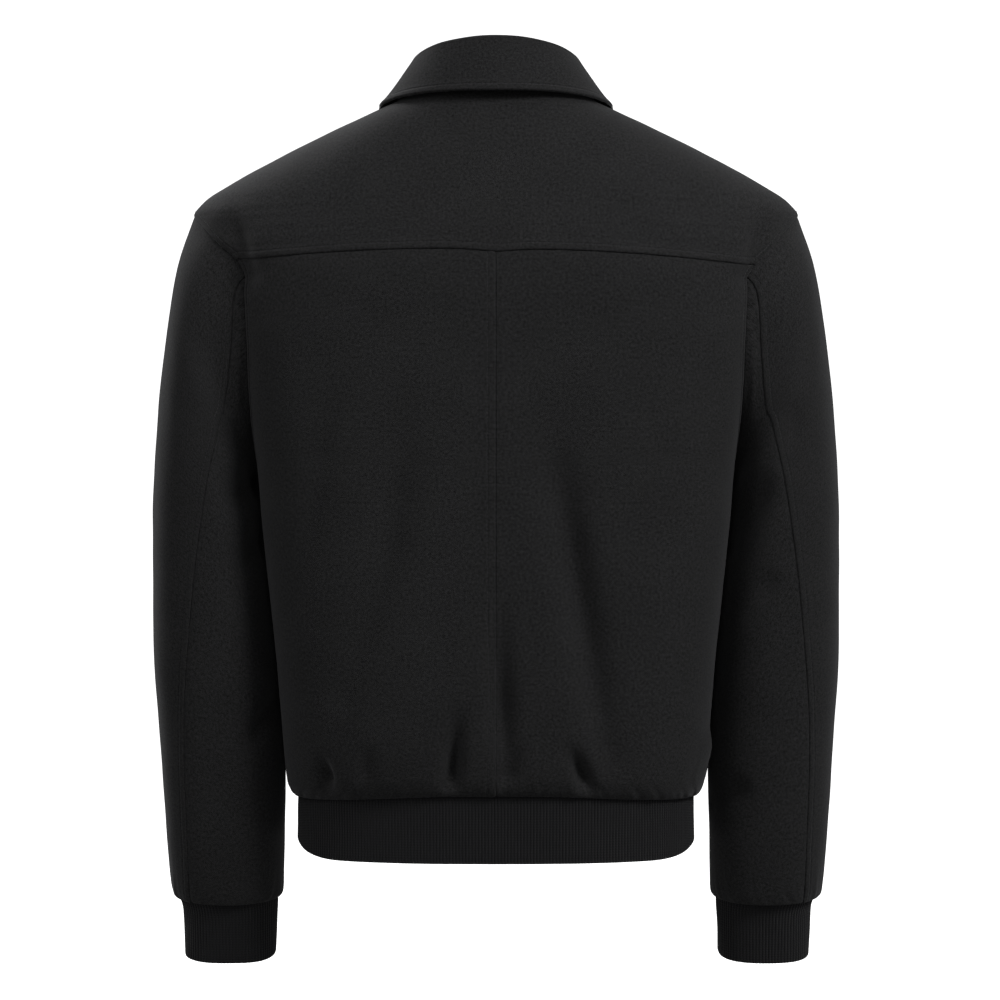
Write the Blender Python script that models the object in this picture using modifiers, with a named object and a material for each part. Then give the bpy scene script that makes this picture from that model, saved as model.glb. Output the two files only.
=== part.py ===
"""Bomber jacket in wool cloth, in the hollow form it takes when it is worn.

Frame: metres, +Z up, the jacket faces -Y and the wearer's left is +X. The origin is the middle of
the neck, level with the shoulders, where the wearer holds the jacket up.

Every cloth piece is a wall between an outer and an inner skin. Both skins are read from one
smooth surface for the body, one for each sleeve and one for the collar, so that the pieces meet
along shared seams with a small gap.
"""

import math

import bmesh
import bpy
import numpy as np
from mathutils import Matrix, Vector

# ---------------------------------------------------------------- driving sizes, in metres
CLOTH = 0.0020  # wool cloth with its interlining
COLLAR_CLOTH = 0.0022
RIB_CLOTH = 0.0022
SEAM_GAP = 0.0003
FRONT_GAP = 0.0050  # from the centre front to the edge of each front, over the zip
RIB_PITCH = 0.00272
RIB_RELIEF = 0.00035

# The sections of the body, from the hem seam up. "up" is the height along the body, and each
# section gives its height at the side, the centre back and the centre front.
BODY_NAMES = ("up", "z_side", "z_back", "z_front", "half_width", "back", "front", "centre_y")
BODY_NAMES += ("blunt_x", "blunt_y")
BODY_SECTIONS = (
    (0.000, -0.6000, -0.5935, -0.5980, 0.1738, 0.1190, 0.1150, 0.0000, 2.50, 2.50),
    (0.007, -0.5950, -0.5885, -0.5930, 0.1772, 0.1235, 0.1185, 0.0000, 2.55, 2.55),
    (0.018, -0.5840, -0.5775, -0.5820, 0.1805, 0.1280, 0.1215, 0.0000, 2.65, 2.65),
    (0.050, -0.5490, -0.5455, -0.5470, 0.1836, 0.1320, 0.1260, 0.0000, 2.85, 2.85),
    (0.110, -0.4830, -0.4860, -0.4810, 0.1888, 0.1340, 0.1300, 0.0000, 3.10, 3.10),
    (0.170, -0.4240, -0.4260, -0.4210, 0.1948, 0.1345, 0.1340, 0.0000, 3.30, 3.30),
    (0.230, -0.3640, -0.3660, -0.3610, 0.2010, 0.1340, 0.1380, 0.0000, 3.45, 3.45),
    (0.278, -0.3150, -0.3170, -0.3120, 0.2050, 0.1335, 0.1400, 0.0000, 3.60, 3.60),
    (0.302, -0.2900, -0.2900, -0.2900, 0.2085, 0.1330, 0.1402, 0.0000, 3.60, 3.60),
    (0.335, -0.2560, -0.2535, -0.2635, 0.2137, 0.1320, 0.1402, 0.0000, 3.60, 3.60),
    (0.382, -0.2095, -0.2035, -0.2250, 0.2190, 0.1292, 0.1395, 0.0000, 3.50, 3.50),
    (0.402, -0.1920, -0.1760, -0.2110, 0.2212, 0.1285, 0.1388, 0.0000, 3.43, 3.19),
    (0.428, -0.1593, -0.1529, -0.1920, 0.2240, 0.1260, 0.1376, 0.0000, 3.17, 3.00),
    (0.440, -0.1455, -0.1375, -0.1830, 0.2350, 0.1231, 0.1370, 0.0000, 2.78, 2.71),
    (0.462, -0.1323, -0.1220, -0.1700, 0.2483, 0.1199, 0.1345, -0.0010, 2.49, 2.43),
    (0.488, -0.1172, -0.1127, -0.1555, 0.2590, 0.1180, 0.1310, -0.0025, 2.40, 1.94),
    (0.508, -0.1060, -0.1008, -0.1445, 0.2608, 0.1147, 0.1275, -0.0040, 2.24, 1.87),
    (0.520, -0.0997, -0.0948, -0.1390, 0.2615, 0.1130, 0.1260, -0.0050, 2.22, 1.76),
    (0.532, -0.0876, -0.0875, -0.1330, 0.2525, 0.1107, 0.1240, -0.0060, 2.17, 1.66),
    (0.552, -0.0764, -0.0780, -0.1240, 0.2360, 0.1074, 0.1210, -0.0070, 2.10, 1.71),
    (0.600, -0.0513, -0.0520, -0.1050, 0.1915, 0.0970, 0.1120, -0.0090, 2.12, 1.75),
    (0.660, -0.0242, -0.0220, -0.0850, 0.1370, 0.0840, 0.0990, -0.0110, 2.12, 1.90),
    (0.720, -0.0018, 0.0060, -0.0720, 0.0870, 0.0700, 0.0880, -0.0120, 2.15, 2.10),
)
# How late round a section its height leaves the side's: below the shoulder, and at the neck.
HEIGHT_BEND = {"body": 6.0, "neck": 2.0}
UNDERARM, YOKE_SEAM, SHOULDER, NECK = 0.278, 0.440, 0.520, 0.720

# The armhole, from the underarm to the shoulder point: height along the body, and how far the
# seam lies behind and in front of the section's middle. One row for each column of the sleeve.
ARMHOLE_NAMES = ("step", "up", "behind", "ahead")
ARMHOLE = (
    (0, 0.2780, 0.0000, 0.0000),
    (1, 0.2840, 0.0240, 0.0240),
    (2, 0.3020, 0.0480, 0.0490),
    (3, 0.3350, 0.0640, 0.0670),
    (4, 0.3820, 0.0712, 0.0770),
    (5, 0.4280, 0.0640, 0.0725),
    (6, 0.4400, 0.0605, 0.0690),
    (7, 0.4620, 0.0525, 0.0600),
    (8, 0.4880, 0.0375, 0.0440),
    (9, 0.5080, 0.0185, 0.0220),
    (10, 0.5200, 0.0000, 0.0000),
)
ARM_STEPS = len(ARMHOLE) - 1

# The sections of a sleeve, from the armhole down: its outermost and innermost points, and its
# depth behind and in front of its middle. "pitch" is how far its back dips for each metre.
SLEEVE_NAMES = ("down", "x_out", "z_out", "x_in", "z_in", "centre_y", "back", "front", "pitch", "square")
SLEEVE_SECTIONS = (
    (0.00, 0.2615, -0.1003, 0.2050, -0.3150, -0.002, 0.071, 0.077, 0.00, 2.3),
    (0.08, 0.2757, -0.1450, 0.2068, -0.3270, -0.002, 0.074, 0.079, 0.00, 2.3),
    (0.18, 0.2840, -0.2000, 0.2030, -0.3500, -0.001, 0.077, 0.079, 0.00, 2.3),
    (0.30, 0.2917, -0.2700, 0.1996, -0.3860, 0.000, 0.077, 0.077, 0.00, 2.3),
    (0.45, 0.2965, -0.3680, 0.1937, -0.4420, -0.001, 0.073, 0.073, 0.00, 2.3),
    (0.60, 0.2964, -0.4650, 0.1877, -0.5050, -0.004, 0.068, 0.068, 0.03, 2.3),
    (0.75, 0.2912, -0.5550, 0.1828, -0.5740, -0.011, 0.062, 0.062, 0.07, 2.3),
    (0.88, 0.2862, -0.6370, 0.1842, -0.6420, -0.018, 0.056, 0.056, 0.11, 2.3),
    (0.97, 0.2832, -0.6780, 0.1852, -0.6800, -0.024, 0.052, 0.052, 0.13, 2.2),
    (1.00, 0.2812, -0.6885, 0.1860, -0.6890, -0.026, 0.050, 0.050, 0.13, 2.1),
)
# Where the two seams of the sleeve run, in degrees behind and in front of its outermost line.
SLEEVE_SEAM_NAMES = ("down", "back_seam", "front_seam")
SLEEVE_SEAMS = (
    (0.00, 80.0, 118.0),
    (0.03, 150.0, 118.0),
    (0.06, 127.0, 118.0),
    (0.09, 112.0, 118.0),
    (0.12, 106.0, 118.0),
    (0.19, 101.0, 118.0),
    (0.30, 92.0, 118.0),
    (0.40, 84.0, 118.0),
    (0.50, 75.5, 118.0),
    (0.60, 68.5, 118.0),
    (0.76, 58.0, 116.0),
    (0.89, 56.0, 114.0),
    (1.00, 53.0, 112.0),
)
BACK_SEAM_STEP, FRONT_SEAM_STEP = 5, 16  # columns of the sleeve where its seams start
SWAY = {"left": 0.0, "right": 0.0018}  # how much further out each cuff hangs
LOOP_FADE = 0.20  # how far down the sleeve the armhole's own shape is still felt
TURN_FADE = {"back": 0.12, "front": 0.18}  # and how far down its seams run to their own places

CUFF_NAMES = ("down", "x_middle", "z_middle", "half_width", "half_depth", "centre_y", "pitch", "blunt")
CUFF_SECTIONS = (
    (0.00, 0.23360, -0.6868, 0.0434, 0.0458, -0.0260, 0.13, 2.1),
    (0.25, 0.23180, -0.7010, 0.0412, 0.0425, -0.0272, 0.14, 2.2),
    (1.00, 0.23180, -0.7413, 0.0394, 0.0385, -0.0300, 0.15, 2.5),
)
CUFF_RIBS = 92

HEM_NAMES = ("down", "z_side", "z_back", "z_front", "half_width", "back", "front")
HEM_SECTIONS = (
    (0.0, -0.5980, -0.5913, -0.5960, 0.1703, 0.1160, 0.1122),
    (1.0, -0.6374, -0.6500, -0.6410, 0.1712, 0.1152, 0.1115),
)

# Folds of the back, as troughs (depth below zero) or ridges along a curve of three points. Sizes
# in millimetres: x and z of the start, the bend and the end, the width at both ends, the depth,
# and where along it the fold is deepest. +x is the wearer's left.
FOLD_NAMES = ("x0", "z0", "x1", "z1", "x2", "z2", "width0", "width2", "depth", "peak")
BACK_FOLDS = (
    (-34, -235, -62, -392, -93, -562, 17, 15, -9.0, 0.58),
    (-4, -395, -2, -480, -8, -574, 9, 11, -7.5, 0.65),
    (-26, -540, -15, -566, -5, -590, 6, 5, -3.5, 0.60),
    (-58, -543, -69, -566, -81, -594, 7, 7, -8.0, 0.70),
    (29, -505, 33, -547, 39, -594, 9, 8, -9.0, 0.72),
    (147, -552, 145, -572, 142, -594, 7, 7, -7.0, 0.70),
    (72, -245, 78, -380, 132, -510, 18, 17, -5.0, 0.50),
    (135, -210, 147, -320, 166, -425, 14, 12, -3.0, 0.50),
    (107, -546, 108, -568, 109, -592, 7, 7, -4.0, 0.60),
    (-184, -538, -187, -556, -183, -576, 9, 9, 4.0, 0.55),
    (231, -92, 217, -128, 209, -156, 11, 9, -6.5, 0.50),
    (-233, -94, -221, -130, -214, -156, 10, 9, -5.5, 0.50),
)
FRONT_FOLDS = (
    (48, -500, 52, -545, 58, -592, 9, 7, -4.5, 0.70),
    (112, -520, 116, -555, 120, -592, 9, 7, -4.0, 0.70),
    (-60, -510, -64, -550, -72, -592, 9, 7, -4.5, 0.70),
    (-124, -505, -122, -545, -118, -592, 9, 7, -4.0, 0.70),
    (95, -300, 84, -400, 70, -480, 17, 15, -3.0, 0.50),
    (-98, -300, -88, -400, -80, -480, 17, 15, -3.0, 0.50),
)
# Folds of the sleeves, on the side that faces back, then on the side that faces front.
SLEEVE_FOLDS = {
    ("left", "back"): (
        (241, -146, 230, -176, 217, -206, 10, 11, -4.5, 0.50),
        (238, -170, 236, -230, 228, -290, 14, 14, -5.0, 0.50),
        (228, -366, 214, -340, 199, -314, 13, 12, -6.5, 0.60),
        (221, -416, 207, -394, 194, -366, 12, 11, -5.0, 0.60),
        (214, -565, 203, -545, 186, -514, 8, 9, -6.0, 0.60),
    ),
    ("left", "front"): (
        (272, -330, 250, -350, 222, -352, 13, 12, -4.5, 0.50),
        (268, -440, 245, -458, 215, -450, 11, 11, -5.5, 0.50),
        (262, -560, 240, -574, 212, -566, 9, 9, -4.0, 0.50),
    ),
    ("right", "back"): (
        (238, -318, 222, -344, 203, -388, 12, 12, -6.5, 0.50),
        (242, -404, 230, -420, 216, -440, 10, 10, -3.5, 0.50),
        (218, -584, 203, -596, 186, -612, 10, 9, -4.5, 0.50),
        (254, -256, 254, -285, 251, -314, 11, 11, -3.5, 0.50),
    ),
    ("right", "front"): (
        (270, -322, 248, -344, 220, -350, 13, 12, -4.5, 0.50),
        (266, -452, 246, -466, 214, -462, 11, 11, -5.5, 0.50),
        (260, -548, 238, -566, 210, -560, 9, 9, -4.0, 0.50),
    ),
}
SEAM_DIP = 0.0022  # the centre-back seam pulls the yoke seam down
SEAM_TILT = 0.0022  # the yoke seam sits a little lower on the wearer's right

# The collar: its fold line is a ring like a body section, and its leaf's edge lies on the body.
FOLD_RING = {"half_width": 0.0705, "back": 0.0655, "front": 0.0790, "centre_y": -0.012}
FOLD_TOP = {"side": 0.0300, "back": 0.0492, "front": -0.0420}
STAND_SHARE = 0.76  # of the way from the neck seam up to the fold line
ROLL_RADIUS = 0.0034
# Where the roll runs out into the leaf, in radians.
ROLL_END = {"side": 0.50, "back": 0.05, "front": 0.55}
FALL_BEND = 1.2
LEAF_END_UP = {"back": 0.6960, "side": 0.7040, "front": 0.5960}  # heights along the body
LEAF_LIFT = {"back": 0.0120, "side": 0.0034, "front": 0.0036}  # off the body
LEAF_POINT_ANGLE = math.radians(-61)  # where the collar points lie, round the body
COLLAR_FRONT_ANGLE = math.radians(-86.7)  # where the collar starts, beside the zip
COLLAR_COLUMNS = 35

# The zip, in metres.
TAPE_CLOTH = 0.0008
TAPE_INNER, TAPE_OUTER = 0.0010, 0.0170  # its edges, from the centre front
ZIP_HEIGHTS = (0.018, 0.05, 0.09, 0.14, 0.19, 0.24, 0.29, 0.35, 0.41, 0.46, 0.51, 0.56, 0.61, 0.66, 0.714)
TEETH_HALF_WIDTH = 0.0030
TEETH_PROUD, TEETH_THICKNESS = -0.0002, 0.0019
SLIDER = {"width": 0.0088, "length": 0.0115, "plate": 0.0016, "above_neck": -0.0035}
BRIDGE = {"width": 0.0018, "length": 0.0092, "height": 0.0040, "slot": 0.0026, "leg": 0.0016}
PULL = {"width": 0.0064, "length": 0.0260, "thick": 0.0012, "bar": 0.0013, "window": 0.0062}
PULL_WINDOW_HALF = 0.0019

# Columns from the centre back to the side, closer together where the folds are.
BACK_COLUMNS = np.array([0, 22, 48, 78, 108, 150, 200, 250, 300, 350, 405, 465, 530, 600]) / 1000
BACK_COLUMNS = np.append(BACK_COLUMNS, [0.68, 0.76, 0.84, 0.92, 1.0])
FRONT_COLUMNS = np.linspace(0, 1, 12)
LOWER_ROWS = (0.0, 0.007, 0.018, 0.032, 0.050, 0.074, 0.104, 0.140, 0.184, 0.232, 0.278)
UPPER_ROWS = (0.532, 0.552, 0.600, 0.660, 0.720)
SLEEVE_ROWS = (0, 0.04, 0.10, 0.17, 0.25, 0.33, 0.41, 0.50, 0.59, 0.68, 0.77, 0.86, 0.94, 1.0)

WOOL = {"name": "wool", "colour": (0.016, 0.016, 0.018, 1), "rough": 0.92, "metal": 0.0}
RIB_KNIT = {"name": "rib_knit", "colour": (0.012, 0.012, 0.013, 1), "rough": 0.95, "metal": 0.0}
TAPE = {"name": "zip_tape", "colour": (0.010, 0.010, 0.011, 1), "rough": 0.85, "metal": 0.0}
DARK_METAL = {"name": "dark_metal", "colour": (0.10, 0.10, 0.105, 1), "rough": 0.38, "metal": 1.0}


# ---------------------------------------------------------------- small maths
def unit(vectors):
    return vectors / np.linalg.norm(vectors, axis=-1, keepdims=True)


def column(table, names, name, at):
    """One named column of a table, read smoothly and without overshoot at "at"."""
    rows = np.array(table, float)
    x, y = rows[:, 0], rows[:, names.index(name)]
    width = np.diff(x)
    slope = np.diff(y) / width
    tangent = np.concatenate([slope[:1], np.zeros(len(x) - 2), slope[-1:]])
    rising = slope[:-1] * slope[1:] > 0
    mean = 2 * slope[:-1] * slope[1:] / np.where(rising, slope[:-1] + slope[1:], 1)
    tangent[1:-1] = np.where(rising, mean, 0)
    i = np.clip(np.searchsorted(x, at, side="right") - 1, 0, len(x) - 2)
    h = width[i]
    t = (at - x[i]) / h
    return (
        y[i] * (2 * t**3 - 3 * t**2 + 1)
        + h * tangent[i] * (t**3 - 2 * t**2 + t)
        + y[i + 1] * (3 * t**2 - 2 * t**3)
        + h * tangent[i + 1] * (t**3 - t**2)
    )


def ease(t):
    """0 below 0, 1 above 1, and smooth in between."""
    t = np.clip(t, 0, 1)
    return t * t * (3 - 2 * t)


def normals_of(surface, a, b, step_a, step_b):
    """The unit normal of surface(a, b), to the left of the way b runs when a runs up."""
    along_a = surface(a + step_a, b) - surface(a - step_a, b)
    along_b = surface(a, b + step_b) - surface(a, b - step_b)
    return unit(np.cross(along_b, along_a))


def fold_relief(points, folds):
    """How far a set of folds moves each point along its normal, from its x and z."""
    x, z = points[..., 0] * 1000, points[..., 2] * 1000
    total = np.zeros(x.shape)
    steps = np.linspace(0, 1, 9)
    for row in folds:
        f = dict(zip(FOLD_NAMES, row))
        px = (1 - steps) ** 2 * f["x0"] + 2 * steps * (1 - steps) * f["x1"] + steps**2 * f["x2"]
        pz = (1 - steps) ** 2 * f["z0"] + 2 * steps * (1 - steps) * f["z1"] + steps**2 * f["z2"]
        nearest = np.full(x.shape, 1e9)
        along = np.zeros(x.shape)
        for i in range(len(steps) - 1):
            dx, dz = px[i + 1] - px[i], pz[i + 1] - pz[i]
            t = np.clip(((x - px[i]) * dx + (z - pz[i]) * dz) / (dx * dx + dz * dz), 0, 1)
            gap = np.hypot(x - px[i] - t * dx, z - pz[i] - t * dz)
            closer = gap < nearest
            nearest = np.where(closer, gap, nearest)
            along = np.where(closer, (i + t) / (len(steps) - 1), along)
        width = f["width0"] + (f["width2"] - f["width0"]) * along
        rise = ease(along / f["peak"])
        fall = 1 - 0.55 * ease((along - f["peak"]) / (1.001 - f["peak"]))
        total += f["depth"] * rise * fall * np.exp(-((nearest / width) ** 2))
    return total / 1000


# ---------------------------------------------------------------- the body's surface
def section_radius(c, q, half_width, depth, blunt_x, blunt_y):
    """How far a section lies from its middle along the direction (c, q)."""
    across, away = np.abs(c) / half_width, np.abs(q) / depth
    radius = (across**blunt_x + away**blunt_x) ** (-1 / blunt_x)
    for _ in range(7):
        a, b = (radius * across) ** blunt_x, (radius * away) ** blunt_y
        radius = radius - (a + b - 1) * radius / (blunt_x * a + blunt_y * b)
    return radius


def body_plain(up, angle):
    """A point of the body without folds: angle 0 is the wearer's left, a quarter turn the back."""
    value = {name: column(BODY_SECTIONS, BODY_NAMES, name, up) for name in BODY_NAMES[1:]}
    c, q = np.cos(angle), np.sin(angle)
    depth = np.where(q > 0, value["back"], value["front"])
    radius = section_radius(c, q, value["half_width"], depth, value["blunt_x"], value["blunt_y"])
    share = np.abs(radius * q / depth)
    z_end = np.where(q > 0, value["z_back"], value["z_front"])
    to_neck = ease((up - SHOULDER) / (0.95 * (NECK - SHOULDER)))
    bend = HEIGHT_BEND["body"] + (HEIGHT_BEND["neck"] - HEIGHT_BEND["body"]) * to_neck
    z = value["z_side"] + (z_end - value["z_side"]) * share**bend
    x = radius * c
    at_seam = np.exp(-(((up - YOKE_SEAM) / 0.03) ** 2)) * ease(q * 4)
    z = z - SEAM_DIP * np.exp(-((x / 0.020) ** 2)) * at_seam
    z = z + SEAM_TILT * (x / 0.21) * at_seam
    return np.stack(np.broadcast_arrays(x, value["centre_y"] + radius * q, z), axis=-1)


def body(up, angle):
    """A point of the body's outer surface, with its folds."""
    up, angle = np.broadcast_arrays(np.asarray(up, float), np.asarray(angle, float))
    points = body_plain(up, angle)
    normal = normals_of(body_plain, up, angle, 1e-4, 1e-3)
    at_back, at_front = ease(np.sin(angle) * 5), ease(-np.sin(angle) * 5)
    held = 1 - np.exp(-((up / 0.010) ** 2))
    height = fold_relief(points, BACK_FOLDS) * at_back + fold_relief(points, FRONT_FOLDS) * at_front
    return points + normal * (height * held)[..., None]


def body_normal(up, angle):
    return normals_of(body, up, angle, 2e-4, 2e-3)


def angle_at(up, away):
    """The angle at which a section passes "away" behind its middle, or in front of it below zero."""
    half = column(BODY_SECTIONS, BODY_NAMES, "half_width", up)
    side = "back" if np.all(np.asarray(away) >= 0) else "front"
    depth = column(BODY_SECTIONS, BODY_NAMES, side, up)
    blunt_x = column(BODY_SECTIONS, BODY_NAMES, "blunt_x", up)
    blunt_y = column(BODY_SECTIONS, BODY_NAMES, "blunt_y", up)
    return np.arctan2(away, half * (1 - np.abs(away / depth) ** blunt_y) ** (1 / blunt_x))


def armhole_place(step, behind):
    """(height along the body, angle) of a step of the armhole, on its back or its front half."""
    up = column(ARMHOLE, ARMHOLE_NAMES, "up", step)
    if behind:
        return up, angle_at(up, column(ARMHOLE, ARMHOLE_NAMES, "behind", step))
    return up, angle_at(up, -column(ARMHOLE, ARMHOLE_NAMES, "ahead", step))


def shoulder_seam(up):
    """The angle of the shoulder seam, which drifts to the front between the shoulder and the neck."""
    return -0.36 * ease((up - SHOULDER) / (NECK - SHOULDER)) ** 0.8


def front_edge(up):
    """The angle of a front's edge beside the zip."""
    return -math.pi / 2 + FRONT_GAP / column(BODY_SECTIONS, BODY_NAMES, "front", up)


def side_end(up, behind):
    """The angle where a row of the back or of the front ends: side seam, armhole or shoulder seam."""
    steps = [row[1] for row in ARMHOLE]
    if up <= UNDERARM:
        return 0.0
    if up < SHOULDER - 1e-9:
        step = float(np.interp(up, steps, range(len(steps))))
        return float(armhole_place(round(step), behind)[1])
    return float(shoulder_seam(up))


def spaced_angles(up, start, end, shares):
    """Angles between start and end at the given shares of the length along the section."""
    fine = np.linspace(start, end, 241)
    points = body_plain(np.full(fine.shape, up), fine)
    length = np.concatenate([[0], np.cumsum(np.linalg.norm(np.diff(points, axis=0), axis=1))])
    return np.interp(np.asarray(shares) * length[-1], length, fine)


# ---------------------------------------------------------------- the sleeves' surface
def sleeve_ring(down, turn):
    """A point of the left sleeve's plain tube. turn is 0 outside and a quarter turn at the back."""
    value = {name: column(SLEEVE_SECTIONS, SLEEVE_NAMES, name, down) for name in SLEEVE_NAMES[1:]}
    c, q = np.cos(turn), np.sin(turn)
    n = value["square"]
    radius = (np.abs(c) ** n + np.abs(q) ** n) ** (-1 / n)
    depth = np.where(q > 0, value["back"], value["front"])
    mid_x, mid_z = (value["x_out"] + value["x_in"]) / 2, (value["z_out"] + value["z_in"]) / 2
    out_x, out_z = (value["x_out"] - value["x_in"]) / 2, (value["z_out"] - value["z_in"]) / 2
    away = depth * radius * q
    x = mid_x + out_x * radius * c
    z = mid_z + out_z * radius * c - value["pitch"] * away
    return np.stack(np.broadcast_arrays(x, value["centre_y"] + away, z), axis=-1)


def armhole_loop(step):
    """The armhole seam: 0 at the underarm, ARM_STEPS at the shoulder by the back, then the front."""
    step = np.asarray(step, float)
    behind = np.clip(step, 0, ARM_STEPS)
    ahead = np.clip(2 * ARM_STEPS - step, 0, ARM_STEPS)
    up_b, angle_b = armhole_place(behind, True)
    up_f, angle_f = armhole_place(ahead, False)
    at_back = step <= ARM_STEPS
    return body(np.where(at_back, up_b, up_f), np.where(at_back, angle_b, angle_f))


def loop_turn(step):
    """The turn of each armhole point as seen from the sleeve's first section."""
    first = {name: SLEEVE_SECTIONS[0][i] for i, name in enumerate(SLEEVE_NAMES)}
    out = np.array([first["x_out"] - first["x_in"], first["z_out"] - first["z_in"]]) / 2
    mid = np.array([first["x_out"] + first["x_in"], first["z_out"] + first["z_in"]]) / 2
    p = armhole_loop(step)
    across = ((p[..., 0] - mid[0]) * out[0] + (p[..., 2] - mid[1]) * out[1]) / (out @ out)
    behind = np.asarray(step) <= ARM_STEPS
    depth = np.where(behind, first["back"], first["front"])
    turn = np.arctan2((p[..., 1] - first["centre_y"]) / depth, across)
    top = np.abs(np.asarray(step) - ARM_STEPS) < 0.5
    under = (np.asarray(step) < 0.5) | (np.asarray(step) > 2 * ARM_STEPS - 0.5)
    turn = np.where(behind & ~top & (turn < 0), turn + 2 * math.pi, turn)
    turn = np.where(under & behind & (turn < 0), turn + 2 * math.pi, turn)
    return np.where(~behind & ~top & (turn > 0), turn - 2 * math.pi, turn)


def seam_turn(step, down):
    """The turn of each column once the sleeve hangs free: both seams lie on columns of their own."""
    back = np.radians(column(SLEEVE_SEAMS, SLEEVE_SEAM_NAMES, "back_seam", down))
    front = np.radians(column(SLEEVE_SEAMS, SLEEVE_SEAM_NAMES, "front_seam", down))
    knots = (
        (0, BACK_SEAM_STEP, math.pi, back),
        (BACK_SEAM_STEP, ARM_STEPS, back, 0 * back),
        (ARM_STEPS, FRONT_SEAM_STEP, 0 * back, -front),
        (FRONT_SEAM_STEP, 2 * ARM_STEPS, -front, -math.pi),
    )
    turn = np.zeros(np.broadcast(step, down).shape)
    for first, last, start, end in knots:
        t = (step - first) / (last - first)
        turn = np.where((t >= 0) & (t <= 1), start + (end - start) * t, turn)
    return turn


def sleeve(down, step, side="left"):
    """A point of a sleeve's outer surface. step goes round the sleeve as it goes round the armhole."""
    down, step = np.broadcast_arrays(np.asarray(down, float), np.asarray(step, float))
    inside = np.clip(step, 0, 2 * ARM_STEPS)
    start = loop_turn(inside)
    share = ease(down / np.where(inside <= ARM_STEPS, TURN_FADE["back"], TURN_FADE["front"]))
    turn = start * (1 - share) + seam_turn(inside, down) * share
    turn = turn - (step - inside) * 0.3
    rest = armhole_loop(inside) - sleeve_ring(np.zeros(step.shape), start)
    under = np.abs(inside - ARM_STEPS) / ARM_STEPS
    fade = np.clip(1 - down / LOOP_FADE, 0, 1) ** (2 + 3 * under)
    points = sleeve_ring(down, turn) + rest * fade[..., None]
    normal = ring_normal(down, turn)
    away = points[..., 1] - column(SLEEVE_SECTIONS, SLEEVE_NAMES, "centre_y", down)
    at_back, at_front = ease(away / 0.02), ease(-away / 0.02)
    height = fold_relief(points, SLEEVE_FOLDS[side, "back"]) * at_back
    height = height + fold_relief(points, SLEEVE_FOLDS[side, "front"]) * at_front
    held = ease(down / 0.10) * ease((1 - down) / 0.05)
    points = points + normal * (height * held)[..., None]
    points[..., 0] += SWAY[side] * ease((down - 0.45) / 0.45)
    if side == "right":
        points = points * np.array([-1, 1, 1])
    return points


def ring_normal(down, turn):
    """The outward normal of the left sleeve's plain tube."""
    along = sleeve_ring(down + 1e-3, turn) - sleeve_ring(down - 1e-3, turn)
    around = sleeve_ring(down, turn + 1e-3) - sleeve_ring(down, turn - 1e-3)
    return unit(np.cross(along, around))


def sleeve_normal(down, step, side):
    low = np.clip(down - 2e-3, 0, 1)
    high = np.clip(down + 2e-3, 0, 1)
    along = sleeve(high, step, side) - sleeve(low, step, side)
    around = sleeve(down, step + 0.02, side) - sleeve(down, step - 0.02, side)
    normal = unit(np.cross(around, along))
    return -normal if side == "right" else normal


# ---------------------------------------------------------------- walls of cloth
def wall_object(name, outer, inner, finish, ring=False):
    """A closed wall between two grids of points. The inner grid may have fewer rows and columns."""
    rows, cols = outer.shape[:2]
    inner_rows, inner_cols = inner.shape[:2]
    row_step = (rows - 1) // (inner_rows - 1)
    col_step = cols // inner_cols if ring else (cols - 1) // (inner_cols - 1)
    base = rows * cols

    def out(r, c):
        return r * cols + c % cols

    def back(r, c):
        return base + r * inner_cols + c % inner_cols

    faces = []
    for r in range(rows - 1):
        for c in range(cols if ring else cols - 1):
            faces.append([out(r, c), out(r, c + 1), out(r + 1, c + 1), out(r + 1, c)])
    for r in range(inner_rows - 1):
        for c in range(inner_cols if ring else inner_cols - 1):
            faces.append([back(r, c), back(r + 1, c), back(r + 1, c + 1), back(r, c + 1)])
    for c in range(inner_cols if ring else inner_cols - 1):
        for r_out, r_in in ((0, 0), (rows - 1, inner_rows - 1)):
            edge = [out(r_out, c * col_step + k) for k in range(col_step + 1)]
            faces.append(edge + [back(r_in, c + 1), back(r_in, c)])
    if not ring:
        for r in range(inner_rows - 1):
            for c_out, c_in in ((0, 0), (cols - 1, inner_cols - 1)):
                edge = [out(r * row_step + k, c_out) for k in range(row_step + 1)]
                faces.append(edge + [back(r + 1, c_in), back(r, c_in)])
    points = np.concatenate([outer.reshape(-1, 3), inner.reshape(-1, 3)])
    mesh = bpy.data.meshes.new(name)
    mesh.from_pydata([tuple(p) for p in points], [], faces)
    shell = bmesh.new()
    shell.from_mesh(mesh)
    bmesh.ops.recalc_face_normals(shell, faces=shell.faces)
    shell.to_mesh(mesh)
    shell.free()
    mesh.shade_smooth()
    mesh.set_sharp_from_angle(angle=math.radians(50))
    return placed(bpy.data.objects.new(name, mesh), finish)


def parted(points, sides=("first_row", "last_row", "first_col", "last_col")):
    """The points with the named edges drawn in by half of the seam gap."""
    moved = points.copy()
    half = SEAM_GAP / 2
    if "first_row" in sides:
        moved[0] += unit(points[1] - points[0]) * half
    if "last_row" in sides:
        moved[-1] += unit(points[-2] - points[-1]) * half
    if "first_col" in sides:
        moved[:, 0] += unit(points[:, 1] - points[:, 0]) * half
    if "last_col" in sides:
        moved[:, -1] += unit(points[:, -2] - points[:, -1]) * half
    return moved


def placed(obj, finish):
    """Gives an object its material and links it to the jacket's collection."""
    material = bpy.data.materials.get(finish["name"])
    if material is None:
        material = bpy.data.materials.new(finish["name"])
        material.use_nodes = True
        shader = material.node_tree.nodes["Principled BSDF"]
        shader.inputs["Base Color"].default_value = finish["colour"]
        shader.inputs["Roughness"].default_value = finish["rough"]
        shader.inputs["Metallic"].default_value = finish["metal"]
    obj.data.materials.append(material)
    bpy.data.collections["bomber_jacket"].objects.link(obj)
    return obj


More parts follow.
